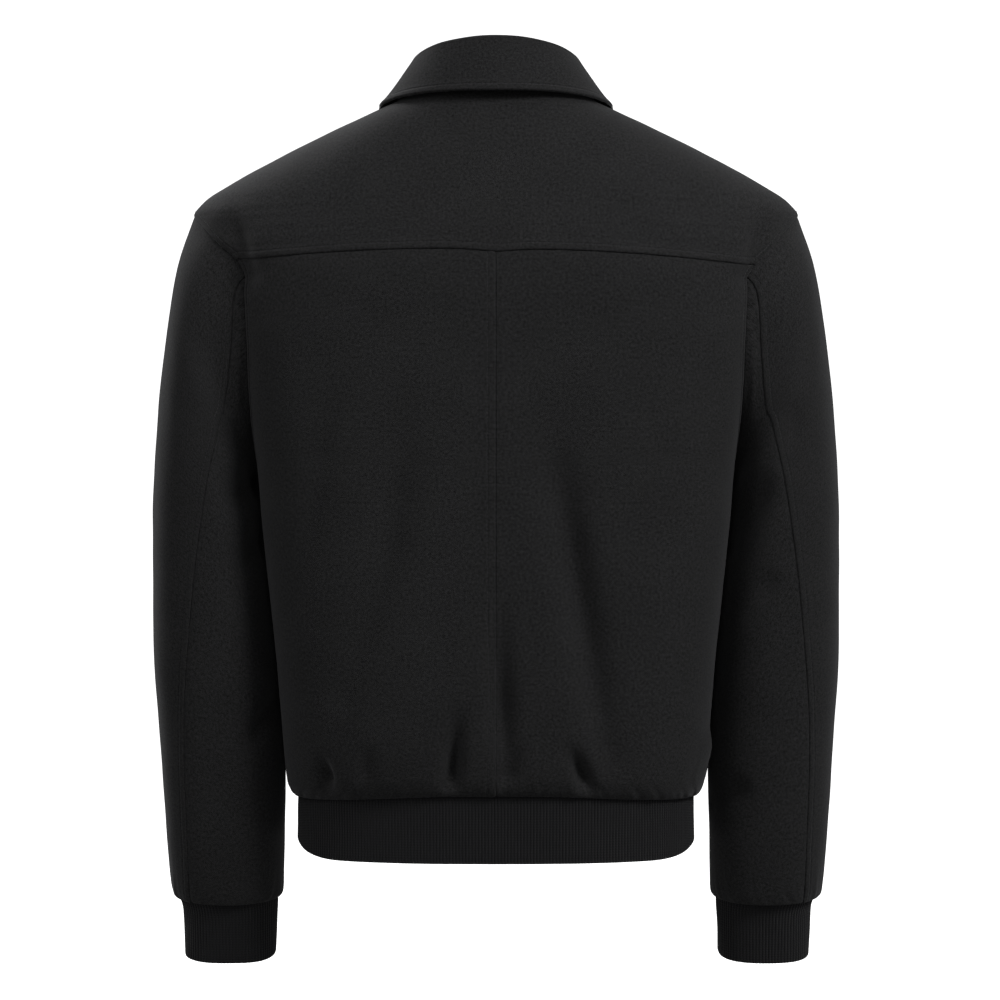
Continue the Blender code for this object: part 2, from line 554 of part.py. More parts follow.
# ---------------------------------------------------------------- the armhole seam
def armhole_seam(side):
    """For each step of the armhole: its point, the way into both walls, and from sleeve to body."""
    steps = np.arange(2 * ARM_STEPS + 1, dtype=float)
    point = armhole_loop(steps)
    ahead, behind = np.minimum(steps + 0.1, 2 * ARM_STEPS), np.maximum(steps - 0.1, 0)
    tangent = unit(armhole_loop(ahead) - armhole_loop(behind))
    tangent[0] = tangent[-1] = unit(tangent[0] + tangent[-1])
    up_b, angle_b = armhole_place(np.minimum(steps, ARM_STEPS), True)
    up_f, angle_f = armhole_place(np.minimum(2 * ARM_STEPS - steps, ARM_STEPS), False)
    at_back = steps <= ARM_STEPS
    of_body = body_normal(np.where(at_back, up_b, up_f), np.where(at_back, angle_b, angle_f))
    down_sleeve = unit(sleeve(np.full(steps.shape, 0.02), steps) - point)
    of_sleeve = unit(np.cross(tangent, down_sleeve))
    of_sleeve *= np.sign((of_sleeve * (point - point.mean(axis=0))).sum(axis=1, keepdims=True) + 1e-9)
    to_body = np.cross(of_body, tangent)
    to_body *= np.sign((to_body * (point - point.mean(axis=0))).sum(axis=1, keepdims=True))
    to_sleeve = np.cross(of_sleeve, tangent)
    to_sleeve *= np.sign((to_sleeve * down_sleeve).sum(axis=1, keepdims=True))
    mitre = unit(of_body + of_sleeve)
    stretch = np.clip((of_body * mitre).sum(axis=1, keepdims=True), 0.62, 1)
    across = unit(to_body - to_sleeve)
    seam = {"point": point, "inward": -mitre / stretch, "across": across}
    if side == "right":
        seam = {name: value * np.array([-1, 1, 1]) for name, value in seam.items()}
    return seam


def fit_armhole(outer, inner, row_of_step, col, seam, steps):
    """Sets one edge of a body panel's skins on the armhole seam."""
    for step in steps:
        row = row_of_step[step]
        point = seam["point"][step] + seam["across"][step] * SEAM_GAP / 2
        if row in (0, len(outer) - 1):
            beside = outer[1 if row == 0 else row - 1, col]
            point = point + unit(beside - point) * SEAM_GAP / 2
        outer[row, col] = point
        inner[row, col] = point + seam["inward"][step] * CLOTH


# ---------------------------------------------------------------- body panels
def mirrored(angle, side):
    return math.pi - angle if side == "right" else angle


def body_panel(name, side, behind, rows, shares, start_angle):
    """A back or a front: rows of points from the centre to the side, both skins."""
    angles = []
    for up in rows:
        end = side_end(up, behind)
        line = spaced_angles(up, start_angle(up), end, shares)
        angles.append(mirrored(line, side))
    angles = np.array(angles)
    ups = np.repeat(np.array(rows)[:, None], angles.shape[1], axis=1)
    points, normal = body(ups, angles), body_normal(ups, angles)
    outer = parted(points)
    inner = outer - normal * CLOTH
    seam = armhole_seam(side)
    heights = [row[1] for row in ARMHOLE]
    row_of_step = {}
    for step, height in enumerate(heights):
        key = step if behind else 2 * ARM_STEPS - step
        if height in rows:
            row_of_step[key] = list(rows).index(height)
    inner_steps = [k for k in row_of_step if k not in (0, ARM_STEPS, 2 * ARM_STEPS)]
    fit_armhole(outer, inner, row_of_step, -1, seam, inner_steps)
    return wall_object(name, outer, inner, WOOL)


def yoke_panel(rows):
    """The yoke, from armhole to armhole and over the shoulders to the shoulder seams."""
    shares = np.concatenate([-BACK_COLUMNS[::-1], BACK_COLUMNS[1:]])
    angles = []
    for up in rows:
        half = spaced_angles(up, math.pi / 2, side_end(up, True), BACK_COLUMNS)
        right = math.pi - half[::-1]
        angles.append(np.concatenate([right, half[1:]]))
    angles = np.array(angles)
    ups = np.repeat(np.array(rows)[:, None], len(shares), axis=1)
    points, normal = body(ups, angles), body_normal(ups, angles)
    outer = parted(points)
    inner = outer - normal * CLOTH
    heights = [row[1] for row in ARMHOLE]
    row_of_step = {step: list(rows).index(h) for step, h in enumerate(heights) if h in rows}
    steps = [k for k in row_of_step if k != ARM_STEPS]
    fit_armhole(outer, inner, row_of_step, -1, armhole_seam("left"), steps)
    fit_armhole(outer, inner, row_of_step, 0, armhole_seam("right"), steps)
    return wall_object("yoke", outer, inner, WOOL)


def sleeve_panels(side):
    """The upper sleeve, over the shoulder, and the under sleeve, beside the body."""
    downs = np.array(SLEEVE_ROWS)
    seam = armhole_seam(side)
    spans = {
        "upper_sleeve": list(range(BACK_SEAM_STEP, FRONT_SEAM_STEP + 1)),
        "under_sleeve": list(range(FRONT_SEAM_STEP, 2 * ARM_STEPS)) + list(range(0, BACK_SEAM_STEP + 1)),
    }
    for name, steps in spans.items():
        down, step = np.meshgrid(downs, np.array(steps, float), indexing="ij")
        points = sleeve(down, step, side)
        normal = sleeve_normal(down, step, side)
        points[0] = seam["point"][steps]
        outer = parted(points, ("last_row", "first_col", "last_col"))
        inner = outer - normal * CLOTH
        outer[0] -= seam["across"][steps] * SEAM_GAP / 2
        inner[0] = outer[0] + seam["inward"][steps] * CLOTH
        wall_object(f"{name}_{side}", outer, inner, WOOL)


# ---------------------------------------------------------------- rib knit bands
def rib_zigzag(count):
    """+1 and -1 by turns: the ridges and valleys of a rib, two columns to a rib."""
    return np.where(np.arange(count) % 2 == 0, 1.0, -1.0)


def hem_point(down, angle):
    value = {name: column(HEM_SECTIONS, HEM_NAMES, name, down) for name in HEM_NAMES[1:]}
    c, q = np.cos(angle), np.sin(angle)
    depth = np.where(q > 0, value["back"], value["front"])
    n = BODY_SECTIONS[0][BODY_NAMES.index("blunt_x")]
    radius = (np.abs(c / value["half_width"]) ** n + np.abs(q / depth) ** n) ** (-1 / n)
    share = np.abs(radius * q / depth)
    z_end = np.where(q > 0, value["z_back"], value["z_front"])
    z = value["z_side"] + (z_end - value["z_side"]) * ease(share / 0.75)
    return np.stack(np.broadcast_arrays(radius * c, radius * q, z), axis=-1)


def hem_rib():
    """The rib hem, one band from front edge to front edge."""
    edge = FRONT_GAP / HEM_SECTIONS[0][HEM_NAMES.index("front")]
    fine = np.linspace(-math.pi / 2 + edge, 1.5 * math.pi - edge, 2001)
    ring = hem_point(np.zeros(fine.shape), fine)
    length = np.concatenate([[0], np.cumsum(np.linalg.norm(np.diff(ring, axis=0), axis=1))])
    groups = round(length[-1] / RIB_PITCH / 3)
    columns = 6 * groups
    angles = np.interp(np.linspace(0, length[-1], columns + 1), length, fine)
    down, angle = np.meshgrid([0.0, 1.0], angles, indexing="ij")
    points = hem_point(down, angle)
    normal = unit(np.cross(hem_point(down, angle + 1e-3) - hem_point(down, angle - 1e-3), (0, 0, 1)))
    outer = points + normal * (rib_zigzag(columns + 1) * RIB_RELIEF)[None, :, None]
    outer = parted(outer, ("first_row",))
    inner = (points - normal * (RIB_CLOTH - RIB_RELIEF))[:, ::6]
    wall_object("hem_rib", outer, inner, RIB_KNIT)


def cuff_point(down, turn):
    value = {name: column(CUFF_SECTIONS, CUFF_NAMES, name, down) for name in CUFF_NAMES[1:]}
    c, q = np.cos(turn), np.sin(turn)
    radius = (np.abs(c) ** value["blunt"] + np.abs(q) ** value["blunt"]) ** (-1 / value["blunt"])
    away = value["half_depth"] * radius * q
    x = value["x_middle"] + value["half_width"] * radius * c
    z = value["z_middle"] - value["pitch"] * away
    return np.stack(np.broadcast_arrays(x, value["centre_y"] + away, z), axis=-1)


def cuff_rib(side):
    """A rib cuff, a ring wider at its seam with the sleeve."""
    turns = np.linspace(0, 2 * math.pi, 2 * CUFF_RIBS, endpoint=False)
    down, turn = np.meshgrid([row[0] for row in CUFF_SECTIONS], turns, indexing="ij")
    points = cuff_point(down, turn)
    around = cuff_point(down, turn + 1e-3) - cuff_point(down, turn - 1e-3)
    along = cuff_point(np.clip(down + 0.02, 0, 1), turn) - cuff_point(np.clip(down - 0.02, 0, 1), turn)
    normal = -unit(np.cross(around, along))
    outer = points + normal * (rib_zigzag(len(turns)) * RIB_RELIEF)[None, :, None]
    outer = parted(outer, ("first_row",))
    inner = (points - normal * (RIB_CLOTH - RIB_RELIEF))[:, ::4]
    hang = np.array([SWAY[side], 0, 0])
    flip = np.array([-1, 1, 1]) if side == "right" else np.ones(3)
    wall_object(f"cuff_{side}", (outer + hang) * flip, (inner + hang) * flip, RIB_KNIT, ring=True)


# ---------------------------------------------------------------- collar
def around_neck(angle, values):
    """A value that is set at the side, the back and the front, blended round the neck."""
    q = np.sin(angle)
    to_back, to_front = np.clip(q, 0, 1) ** 0.85, np.clip(-q, 0, 1) ** 2
    side = values["side"]
    return side + (values["back"] - side) * to_back + (values["front"] - side) * to_front


def fold_line(angle):
    """The collar's fold line, in the middle of its stand."""
    c, q = np.cos(angle), np.sin(angle)
    depth = np.where(q > 0, FOLD_RING["back"], FOLD_RING["front"])
    radius = ((c / FOLD_RING["half_width"]) ** 2 + (q / depth) ** 2) ** -0.5
    z = around_neck(angle, FOLD_TOP)
    return np.stack(np.broadcast_arrays(radius * c, FOLD_RING["centre_y"] + radius * q, z), axis=-1)


def stand_point(share, angle):
    """The stand's outer skin, from the neck seam (0) to the fold line (1)."""
    share = np.asarray(share, float)[..., None]
    lowest = body(np.full(np.shape(angle), NECK), angle)
    return lowest + (fold_line(angle) - lowest) * share


def outward(angle):
    """The level way out from the neck."""
    ahead = fold_line(angle + 1e-3) - fold_line(angle - 1e-3)
    flat = ahead * np.array([1, 1, 0])
    return unit(np.cross(flat, (0, 0, 1)))


def fold_up(angle):
    """The way up from the fold line, square to it."""
    ahead = unit(fold_line(angle + 1e-3) - fold_line(angle - 1e-3))
    return unit(np.cross(outward(angle), ahead))


def neck_angles():
    """Angles from the left front edge round the back to the right one."""
    return np.linspace(COLLAR_FRONT_ANGLE, math.pi - COLLAR_FRONT_ANGLE, COLLAR_COLUMNS)


def collar_stand():
    share, angle = np.meshgrid([0.0, 0.38, STAND_SHARE], neck_angles(), indexing="ij")
    points = stand_point(share, angle)
    outer = parted(points, ("last_row",))
    outer[0, :, 2] += SEAM_GAP * 1.5
    inner = outer - outward(angle) * COLLAR_CLOTH
    wall_object("collar_stand", outer, inner, WOOL)


def leaf_end(angle):
    """Where the leaf's edge lies below a point of the fold line: height, angle and lift off the body."""
    c = np.cos(angle)
    ahead = np.arctan2(np.sin(angle), np.abs(c))
    to_back, to_front = ease(ahead / (math.pi / 2)), np.clip(ahead / COLLAR_FRONT_ANGLE, 0, 1)
    on_body = np.where(ahead > 0, ahead, LEAF_POINT_ANGLE * to_front)
    on_body = np.where(c < 0, math.pi - on_body, on_body)
    share = np.where(ahead > 0, to_back, to_front**1.8)
    place = []
    for value in (LEAF_END_UP, LEAF_LIFT):
        end = np.where(ahead > 0, value["back"], value["front"])
        place.append(value["side"] + (end - value["side"]) * share)
    return place[0], on_body, place[1]


def leaf_point(along, angle):
    """The collar leaf's outer skin: up inside the neck, over the fold and down to its edge."""
    along, angle = np.broadcast_arrays(np.asarray(along, float), np.asarray(angle, float))
    out, up = outward(angle), fold_up(angle)
    low = stand_point(np.full(angle.shape, STAND_SHARE), angle)
    centre = fold_line(angle) + out * (ROLL_RADIUS - COLLAR_CLOTH) - up * ROLL_RADIUS
    rise = np.clip(along / 0.12, 0, 1)[..., None]
    inside = low - out * COLLAR_CLOTH
    start = inside + (centre - out * ROLL_RADIUS - inside) * rise
    stop = around_neck(angle, ROLL_END)
    turn = math.pi + (stop - math.pi) * np.clip((along - 0.12) / 0.23, 0, 1)
    rolled = centre + (np.cos(turn)[..., None] * out + np.sin(turn)[..., None] * up) * ROLL_RADIUS
    high = centre + (np.cos(stop)[..., None] * out + np.sin(stop)[..., None] * up) * ROLL_RADIUS
    t = np.clip((along - 0.35) / 0.65, 0, 1)
    end_up, end_angle, lift = leaf_end(angle)
    height, around = NECK + (end_up - NECK) * t, angle + (end_angle - angle) * t
    left = ((1 - t) ** FALL_BEND)[..., None]
    fallen = body(height, around) + (high - body(np.full(angle.shape, NECK), angle)) * left
    fallen = fallen + body_normal(height, around) * lift[..., None] * (1 - left)
    along = along[..., None]
    return np.where(along < 0.12, start, np.where(along < 0.35, rolled, fallen))


def collar_leaf():
    rows = (0.0, 0.12, 0.178, 0.235, 0.292, 0.35, 0.50, 0.67, 0.84, 1.0)
    along, angle = np.meshgrid(rows, neck_angles(), indexing="ij")
    points = leaf_point(along, angle)
    low = np.maximum(along - 2e-3, 0), np.minimum(along + 2e-3, 1)
    down = leaf_point(low[1], angle) - leaf_point(low[0], angle)
    normal = unit(np.cross(down, leaf_point(along, angle + 1e-3) - leaf_point(along, angle - 1e-3)))
    normal[0] = -outward(angle[0])
    outer = parted(points, ("first_row",))
    inner = outer - normal * COLLAR_CLOTH
    wall_object("collar_leaf", outer, inner, WOOL)


# ---------------------------------------------------------------- zip
def front_line(ups, x):
    """Points of the fronts at the given heights, x to the left of the centre, and their normals."""
    ups = np.array(ups, float)
    angle = -math.pi / 2 + x / column(BODY_SECTIONS, BODY_NAMES, "front", ups)
    return body(ups, angle), body_normal(ups, angle)


def zip_course(x):
    """A line up the front, x to the left of its centre, from the foot of the hem to the neck."""
    cloth, cloth_out = front_line(ZIP_HEIGHTS, x)
    hem = hem_point(np.array([0.995, 0.5, 0.0]), np.full(3, -math.pi / 2 + x / HEM_SECTIONS[0][-1]))
    hem[2, 2] += 0.0015
    hem_out = np.tile(np.array([0.0, -1.0, 0.0]), (3, 1))
    return np.concatenate([hem, cloth]), np.concatenate([hem_out, cloth_out])


def strip(name, edges, depth, thickness, finish):
    """A strip beside the centre front, between two distances from it and sunk by depth."""
    course = [zip_course(x) for x in edges]
    outer = np.stack([points - out * depth for points, out in course], axis=1)
    inner = np.stack([points - out * (depth + thickness) for points, out in course], axis=1)
    return wall_object(name, outer, inner, finish)


def box(name, size, at):
    """A box of the given size with its middle at a point, as a mesh object that is not yet linked."""
    mesh = bpy.data.meshes.new(name)
    shape = bmesh.new()
    bmesh.ops.create_cube(shape, size=1.0)
    bmesh.ops.scale(shape, vec=size, verts=shape.verts)
    bmesh.ops.translate(shape, vec=at, verts=shape.verts)
    shape.to_mesh(mesh)
    shape.free()
    return bpy.data.objects.new(name, mesh)


def cut_or_join(obj, other, operation):
    """Adds a Boolean with a helper that is not part of the jacket."""
    bpy.data.collections["cutters"].objects.link(other)
    other.hide_render = True
    other.display_type = "WIRE"
    boolean = obj.modifiers.new(other.name, "BOOLEAN")
    boolean.operation = operation
    boolean.object = other
    boolean.solver = "EXACT"


def slider_frame():
    """The slider's place on the zip: x across, y out of the cloth turned to -Y, z up the zip."""
    point, out = front_line([NECK + SLIDER["above_neck"] - SLIDER["length"] / 2], 0)
    below, _ = front_line([NECK + SLIDER["above_neck"] - SLIDER["length"]], 0)
    up = unit(point - below)[0]
    ahead = unit(out[0] - up * (out[0] @ up))
    across = np.cross(up, ahead)
    turn = Matrix((across, -ahead, up)).transposed().to_4x4()
    return Matrix.Translation(Vector(point[0])) @ turn


def zip_slider(frame):
    """The slider: a plate over the teeth, and a bridge that holds the pull."""
    plate_y = -(SEAM_GAP - TEETH_PROUD + SLIDER["plate"] / 2) - 0.0002
    plate = box("zip_slider", (SLIDER["width"], SLIDER["plate"], SLIDER["length"]), (0, plate_y, 0))
    plate.matrix_world = frame
    top = plate_y - SLIDER["plate"] / 2
    height = BRIDGE["height"]
    bridge = box("bridge", (BRIDGE["width"], height, BRIDGE["length"]), (0, top - height / 2 + 0.0004, 0))
    slot_length = BRIDGE["length"] - 2 * BRIDGE["leg"]
    slot = box("slot", (0.01, BRIDGE["slot"], slot_length), (0, top - BRIDGE["slot"] / 2 + 0.0002, 0))
    for helper in (bridge, slot):
        helper.matrix_world = frame
    placed(plate, DARK_METAL)
    cut_or_join(plate, bridge, "UNION")
    cut_or_join(plate, slot, "DIFFERENCE")
    return top - BRIDGE["slot"] / 2 + 0.0002


def zip_pull(frame, pivot_y):
    """The pull: a flat tab whose top bar passes under the slider's bridge."""
    middle = PULL["bar"] / 2 - PULL["length"] / 2
    pull = box("zip_pull", (PULL["width"], PULL["thick"], PULL["length"]), (0, pivot_y, middle))
    window_z = -PULL["bar"] / 2 - PULL["window"] / 2
    window = box("window", (2 * PULL_WINDOW_HALF, 0.01, PULL["window"]), (0, pivot_y, window_z))
    for obj in (pull, window):
        obj.matrix_world = frame
    placed(pull, DARK_METAL)
    rounding = pull.modifiers.new("rounding", "BEVEL")
    rounding.width = 0.0004
    rounding.segments = 2
    cut_or_join(pull, window, "DIFFERENCE")


# ---------------------------------------------------------------- the jacket
def clear_scene():
    for obj in list(bpy.data.objects):
        bpy.data.objects.remove(obj)
    for name in ("bomber_jacket", "cutters"):
        bpy.context.scene.collection.children.link(bpy.data.collections.new(name))


def make_jacket():
    clear_scene()
    arm_rows = [row[1] for row in ARMHOLE]
    back_rows = list(LOWER_ROWS) + [u for u in arm_rows if UNDERARM < u <= YOKE_SEAM]
    yoke_rows = [u for u in arm_rows if u >= YOKE_SEAM] + list(UPPER_ROWS)
    front_rows = list(LOWER_ROWS) + arm_rows[1:] + list(UPPER_ROWS)
    for side in ("left", "right"):
        body_panel(f"back_{side}", side, True, back_rows, BACK_COLUMNS, lambda up: math.pi / 2)
        body_panel(f"front_{side}", side, False, front_rows, FRONT_COLUMNS, front_edge)
        sleeve_panels(side)
        cuff_rib(side)
    yoke_panel(yoke_rows)
    hem_rib()
    collar_stand()
    collar_leaf()
    depth = CLOTH + SEAM_GAP
    strip("zip_tape_left", (TAPE_INNER, TAPE_OUTER), depth, TAPE_CLOTH, TAPE)
    strip("zip_tape_right", (-TAPE_OUTER, -TAPE_INNER), depth, TAPE_CLOTH, TAPE)
    strip("zip_teeth", (-TEETH_HALF_WIDTH, TEETH_HALF_WIDTH), -TEETH_PROUD, TEETH_THICKNESS, DARK_METAL)
    frame = slider_frame()
    pivot_y = zip_slider(frame)
    zip_pull(frame, pivot_y)


make_jacket()
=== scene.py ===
"""Bomber jacket in black wool twill: the looks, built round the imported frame.

Each cloth piece here follows the same surfaces as its solid in the frame, on a finer grid, and adds
what the solid leaves out: rolled seam edges, welts and topstitching, small creases, the knitted
ribs' real profile, single zip teeth, and the finish of each material. Below the underarm, the inner
line of each sleeve lies up to 1.1 mm further in than the solid's.

Frame: metres, +Z up, the jacket faces -Y and the wearer's left is +X.
"""

import math

import bpy
import numpy as np
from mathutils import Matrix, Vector
from mathutils.bvhtree import BVHTree
from mathutils.kdtree import KDTree


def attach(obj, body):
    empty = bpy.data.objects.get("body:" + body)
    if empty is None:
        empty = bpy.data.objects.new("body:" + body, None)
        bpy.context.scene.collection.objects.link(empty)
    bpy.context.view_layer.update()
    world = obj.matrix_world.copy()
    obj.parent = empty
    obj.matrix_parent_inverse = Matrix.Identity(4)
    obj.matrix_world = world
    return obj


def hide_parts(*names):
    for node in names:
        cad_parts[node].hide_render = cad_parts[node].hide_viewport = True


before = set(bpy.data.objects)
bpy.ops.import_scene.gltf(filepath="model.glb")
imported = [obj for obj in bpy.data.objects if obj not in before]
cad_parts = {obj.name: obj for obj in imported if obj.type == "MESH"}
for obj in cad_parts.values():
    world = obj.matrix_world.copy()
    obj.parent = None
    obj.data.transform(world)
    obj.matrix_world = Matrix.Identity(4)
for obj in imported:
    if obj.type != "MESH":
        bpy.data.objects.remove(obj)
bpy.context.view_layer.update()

# ---------------------------------------------------------------- driving sizes, in metres
CLOTH = 0.0020  # wool cloth with its interlining
COLLAR_CLOTH = 0.0022
RIB_CLOTH = 0.0022
SEAM_GAP = 0.0003
FRONT_GAP = 0.0050  # from the centre front to the edge of each front, over the zip
RIB_PITCH = 0.00272
RIB_RELIEF = 0.00035

# The sections of the body, from the hem seam up. "up" is the height along the body, and each
# section gives its height at the side, the centre back and the centre front.
BODY_NAMES = ("up", "z_side", "z_back", "z_front", "half_width", "back", "front", "centre_y")
BODY_NAMES += ("blunt_x", "blunt_y")
BODY_SECTIONS = (
    (0.000, -0.6000, -0.5935, -0.5980, 0.1738, 0.1190, 0.1150, 0.0000, 2.50, 2.50),
    (0.007, -0.5950, -0.5885, -0.5930, 0.1772, 0.1235, 0.1185, 0.0000, 2.55, 2.55),
    (0.018, -0.5840, -0.5775, -0.5820, 0.1805, 0.1280, 0.1215, 0.0000, 2.65, 2.65),
    (0.050, -0.5490, -0.5455, -0.5470, 0.1836, 0.1320, 0.1260, 0.0000, 2.85, 2.85),
    (0.110, -0.4830, -0.4860, -0.4810, 0.1888, 0.1340, 0.1300, 0.0000, 3.10, 3.10),
    (0.170, -0.4240, -0.4260, -0.4210, 0.1948, 0.1345, 0.1340, 0.0000, 3.30, 3.30),
    (0.230, -0.3640, -0.3660, -0.3610, 0.2010, 0.1340, 0.1380, 0.0000, 3.45, 3.45),
    (0.278, -0.3150, -0.3170, -0.3120, 0.2050, 0.1335, 0.1400, 0.0000, 3.60, 3.60),
    (0.302, -0.2900, -0.2900, -0.2900, 0.2085, 0.1330, 0.1402, 0.0000, 3.60, 3.60),
    (0.335, -0.2560, -0.2535, -0.2635, 0.2137, 0.1320, 0.1402, 0.0000, 3.60, 3.60),
    (0.382, -0.2095, -0.2035, -0.2250, 0.2190, 0.1292, 0.1395, 0.0000, 3.50, 3.50),
    (0.402, -0.1920, -0.1760, -0.2110, 0.2212, 0.1285, 0.1388, 0.0000, 3.43, 3.19),
    (0.428, -0.1593, -0.1529, -0.1920, 0.2240, 0.1260, 0.1376, 0.0000, 3.17, 3.00),
    (0.440, -0.1455, -0.1375, -0.1830, 0.2350, 0.1231, 0.1370, 0.0000, 2.78, 2.71),
    (0.462, -0.1323, -0.1220, -0.1700, 0.2483, 0.1199, 0.1345, -0.0010, 2.49, 2.43),
    (0.488, -0.1172, -0.1127, -0.1555, 0.2590, 0.1180, 0.1310, -0.0025, 2.40, 1.94),
    (0.508, -0.1060, -0.1008, -0.1445, 0.2608, 0.1147, 0.1275, -0.0040, 2.24, 1.87),
    (0.520, -0.0997, -0.0948, -0.1390, 0.2615, 0.1130, 0.1260, -0.0050, 2.22, 1.76),
    (0.532, -0.0876, -0.0875, -0.1330, 0.2525, 0.1107, 0.1240, -0.0060, 2.17, 1.66),
    (0.552, -0.0764, -0.0780, -0.1240, 0.2360, 0.1074, 0.1210, -0.0070, 2.10, 1.71),
    (0.600, -0.0513, -0.0520, -0.1050, 0.1915, 0.0970, 0.1120, -0.0090, 2.12, 1.75),
    (0.660, -0.0242, -0.0220, -0.0850, 0.1370, 0.0840, 0.0990, -0.0110, 2.12, 1.90),
    (0.720, -0.0018, 0.0060, -0.0720, 0.0870, 0.0700, 0.0880, -0.0120, 2.15, 2.10),
)
# How late round a section its height leaves the side's: below the shoulder, and at the neck.
HEIGHT_BEND = {"body": 6.0, "neck": 2.0}
UNDERARM, YOKE_SEAM, SHOULDER, NECK = 0.278, 0.440, 0.520, 0.720

# The armhole, from the underarm to the shoulder point: height along the body, and how far the
# seam lies behind and in front of the section's middle. One row for each column of the sleeve.
ARMHOLE_NAMES = ("step", "up", "behind", "ahead")
ARMHOLE = (
    (0, 0.2780, 0.0000, 0.0000),
    (1, 0.2840, 0.0240, 0.0240),
    (2, 0.3020, 0.0480, 0.0490),
    (3, 0.3350, 0.0640, 0.0670),
    (4, 0.3820, 0.0712, 0.0770),
    (5, 0.4280, 0.0640, 0.0725),
    (6, 0.4400, 0.0605, 0.0690),
    (7, 0.4620, 0.0525, 0.0600),
    (8, 0.4880, 0.0375, 0.0440),
    (9, 0.5080, 0.0185, 0.0220),
    (10, 0.5200, 0.0000, 0.0000),
)
ARM_STEPS = len(ARMHOLE) - 1

# The sections of a sleeve, from the armhole down: its outermost and innermost points, and its
# depth behind and in front of its middle. "pitch" is how far its back dips for each metre.
SLEEVE_NAMES = ("down", "x_out", "z_out", "x_in", "z_in", "centre_y", "back", "front")
SLEEVE_NAMES += ("pitch", "square")
SLEEVE_SECTIONS = (
    (0.00, 0.2615, -0.1003, 0.2050, -0.3150, -0.002, 0.071, 0.077, 0.00, 2.3),
    (0.08, 0.2757, -0.1450, 0.2057, -0.3270, -0.002, 0.074, 0.079, 0.00, 2.3),
    (0.18, 0.2840, -0.2000, 0.2030, -0.3500, -0.001, 0.077, 0.079, 0.00, 2.3),
    (0.30, 0.2917, -0.2700, 0.1993, -0.3860, 0.000, 0.077, 0.077, 0.00, 2.3),
    (0.45, 0.2965, -0.3680, 0.1937, -0.4420, -0.001, 0.073, 0.073, 0.00, 2.3),
    (0.60, 0.2964, -0.4650, 0.1877, -0.5050, -0.004, 0.068, 0.068, 0.03, 2.3),
    (0.75, 0.2912, -0.5550, 0.1828, -0.5740, -0.011, 0.062, 0.062, 0.07, 2.3),
    (0.88, 0.2862, -0.6370, 0.1842, -0.6420, -0.018, 0.056, 0.056, 0.11, 2.3),
    (0.97, 0.2832, -0.6780, 0.1852, -0.6800, -0.024, 0.052, 0.052, 0.13, 2.2),
    (1.00, 0.2812, -0.6885, 0.1860, -0.6890, -0.026, 0.050, 0.050, 0.13, 2.1),
)
# Where the two seams of the sleeve run, in degrees behind and in front of its outermost line.
SLEEVE_SEAM_NAMES = ("down", "back_seam", "front_seam")
SLEEVE_SEAMS = (
    (0.00, 80.0, 118.0),
    (0.03, 150.0, 118.0),
    (0.06, 127.0, 118.0),
    (0.09, 112.0, 118.0),
    (0.12, 106.0, 118.0),
    (0.19, 101.0, 118.0),
    (0.30, 92.0, 118.0),
    (0.40, 84.0, 118.0),
    (0.50, 75.5, 118.0),
    (0.60, 68.5, 118.0),
    (0.76, 58.0, 116.0),
    (0.89, 56.0, 114.0),
    (1.00, 53.0, 112.0),
)
BACK_SEAM_STEP, FRONT_SEAM_STEP = 5, 16  # columns of the sleeve where its seams start
SWAY = {"left": 0.0, "right": 0.0018}  # how much further out each cuff hangs
SWAY_START, SWAY_RUN = 0.45, 0.45  # where down the sleeve that begins, and over how much it grows
LOOP_FADE = 0.20  # how far down the sleeve the armhole's own shape is still felt
TURN_FADE = {"back": 0.12, "front": 0.18}  # and how far down its seams run to their own places

CUFF_NAMES = ("down", "x_middle", "z_middle", "half_width", "half_depth", "centre_y", "pitch", "blunt")
CUFF_SECTIONS = (
    (0.00, 0.23360, -0.6868, 0.0434, 0.0458, -0.0260, 0.13, 2.1),
    (0.25, 0.23180, -0.7010, 0.0412, 0.0425, -0.0272, 0.14, 2.2),
    (1.00, 0.23180, -0.7413, 0.0394, 0.0385, -0.0300, 0.15, 2.5),
)
CUFF_RIBS = 92

HEM_NAMES = ("down", "z_side", "z_back", "z_front", "half_width", "back", "front")
HEM_SECTIONS = (
    (0.0, -0.5980, -0.5913, -0.5960, 0.1703, 0.1160, 0.1122),
    (1.0, -0.6374, -0.6500, -0.6410, 0.1712, 0.1152, 0.1115),
)

# Folds of the back, as troughs (depth below zero) or ridges along a curve of three points. Sizes
# in millimetres: x and z of the start, the bend and the end, the width at both ends, the depth,
# and where along it the fold is deepest. +x is the wearer's left.
FOLD_NAMES = ("x0", "z0", "x1", "z1", "x2", "z2", "width0", "width2", "depth", "peak")
BACK_FOLDS = (
    (-34, -235, -62, -392, -93, -562, 17, 15, -9.0, 0.58),
    (-4, -395, -2, -480, -8, -574, 9, 11, -7.5, 0.65),
    (-26, -540, -15, -566, -5, -590, 6, 5, -3.5, 0.60),
    (-58, -543, -69, -566, -81, -594, 7, 7, -8.0, 0.70),
    (29, -505, 33, -547, 39, -594, 9, 8, -9.0, 0.72),
    (147, -552, 145, -572, 142, -594, 7, 7, -7.0, 0.70),
    (72, -245, 78, -380, 132, -510, 18, 17, -5.0, 0.50),
    (135, -210, 147, -320, 166, -425, 14, 12, -3.0, 0.50),
    (107, -546, 108, -568, 109, -592, 7, 7, -4.0, 0.60),
    (-184, -538, -187, -556, -183, -576, 9, 9, 4.0, 0.55),
    (231, -92, 217, -128, 209, -156, 11, 9, -6.5, 0.50),
    (-233, -94, -221, -130, -214, -156, 10, 9, -5.5, 0.50),
)
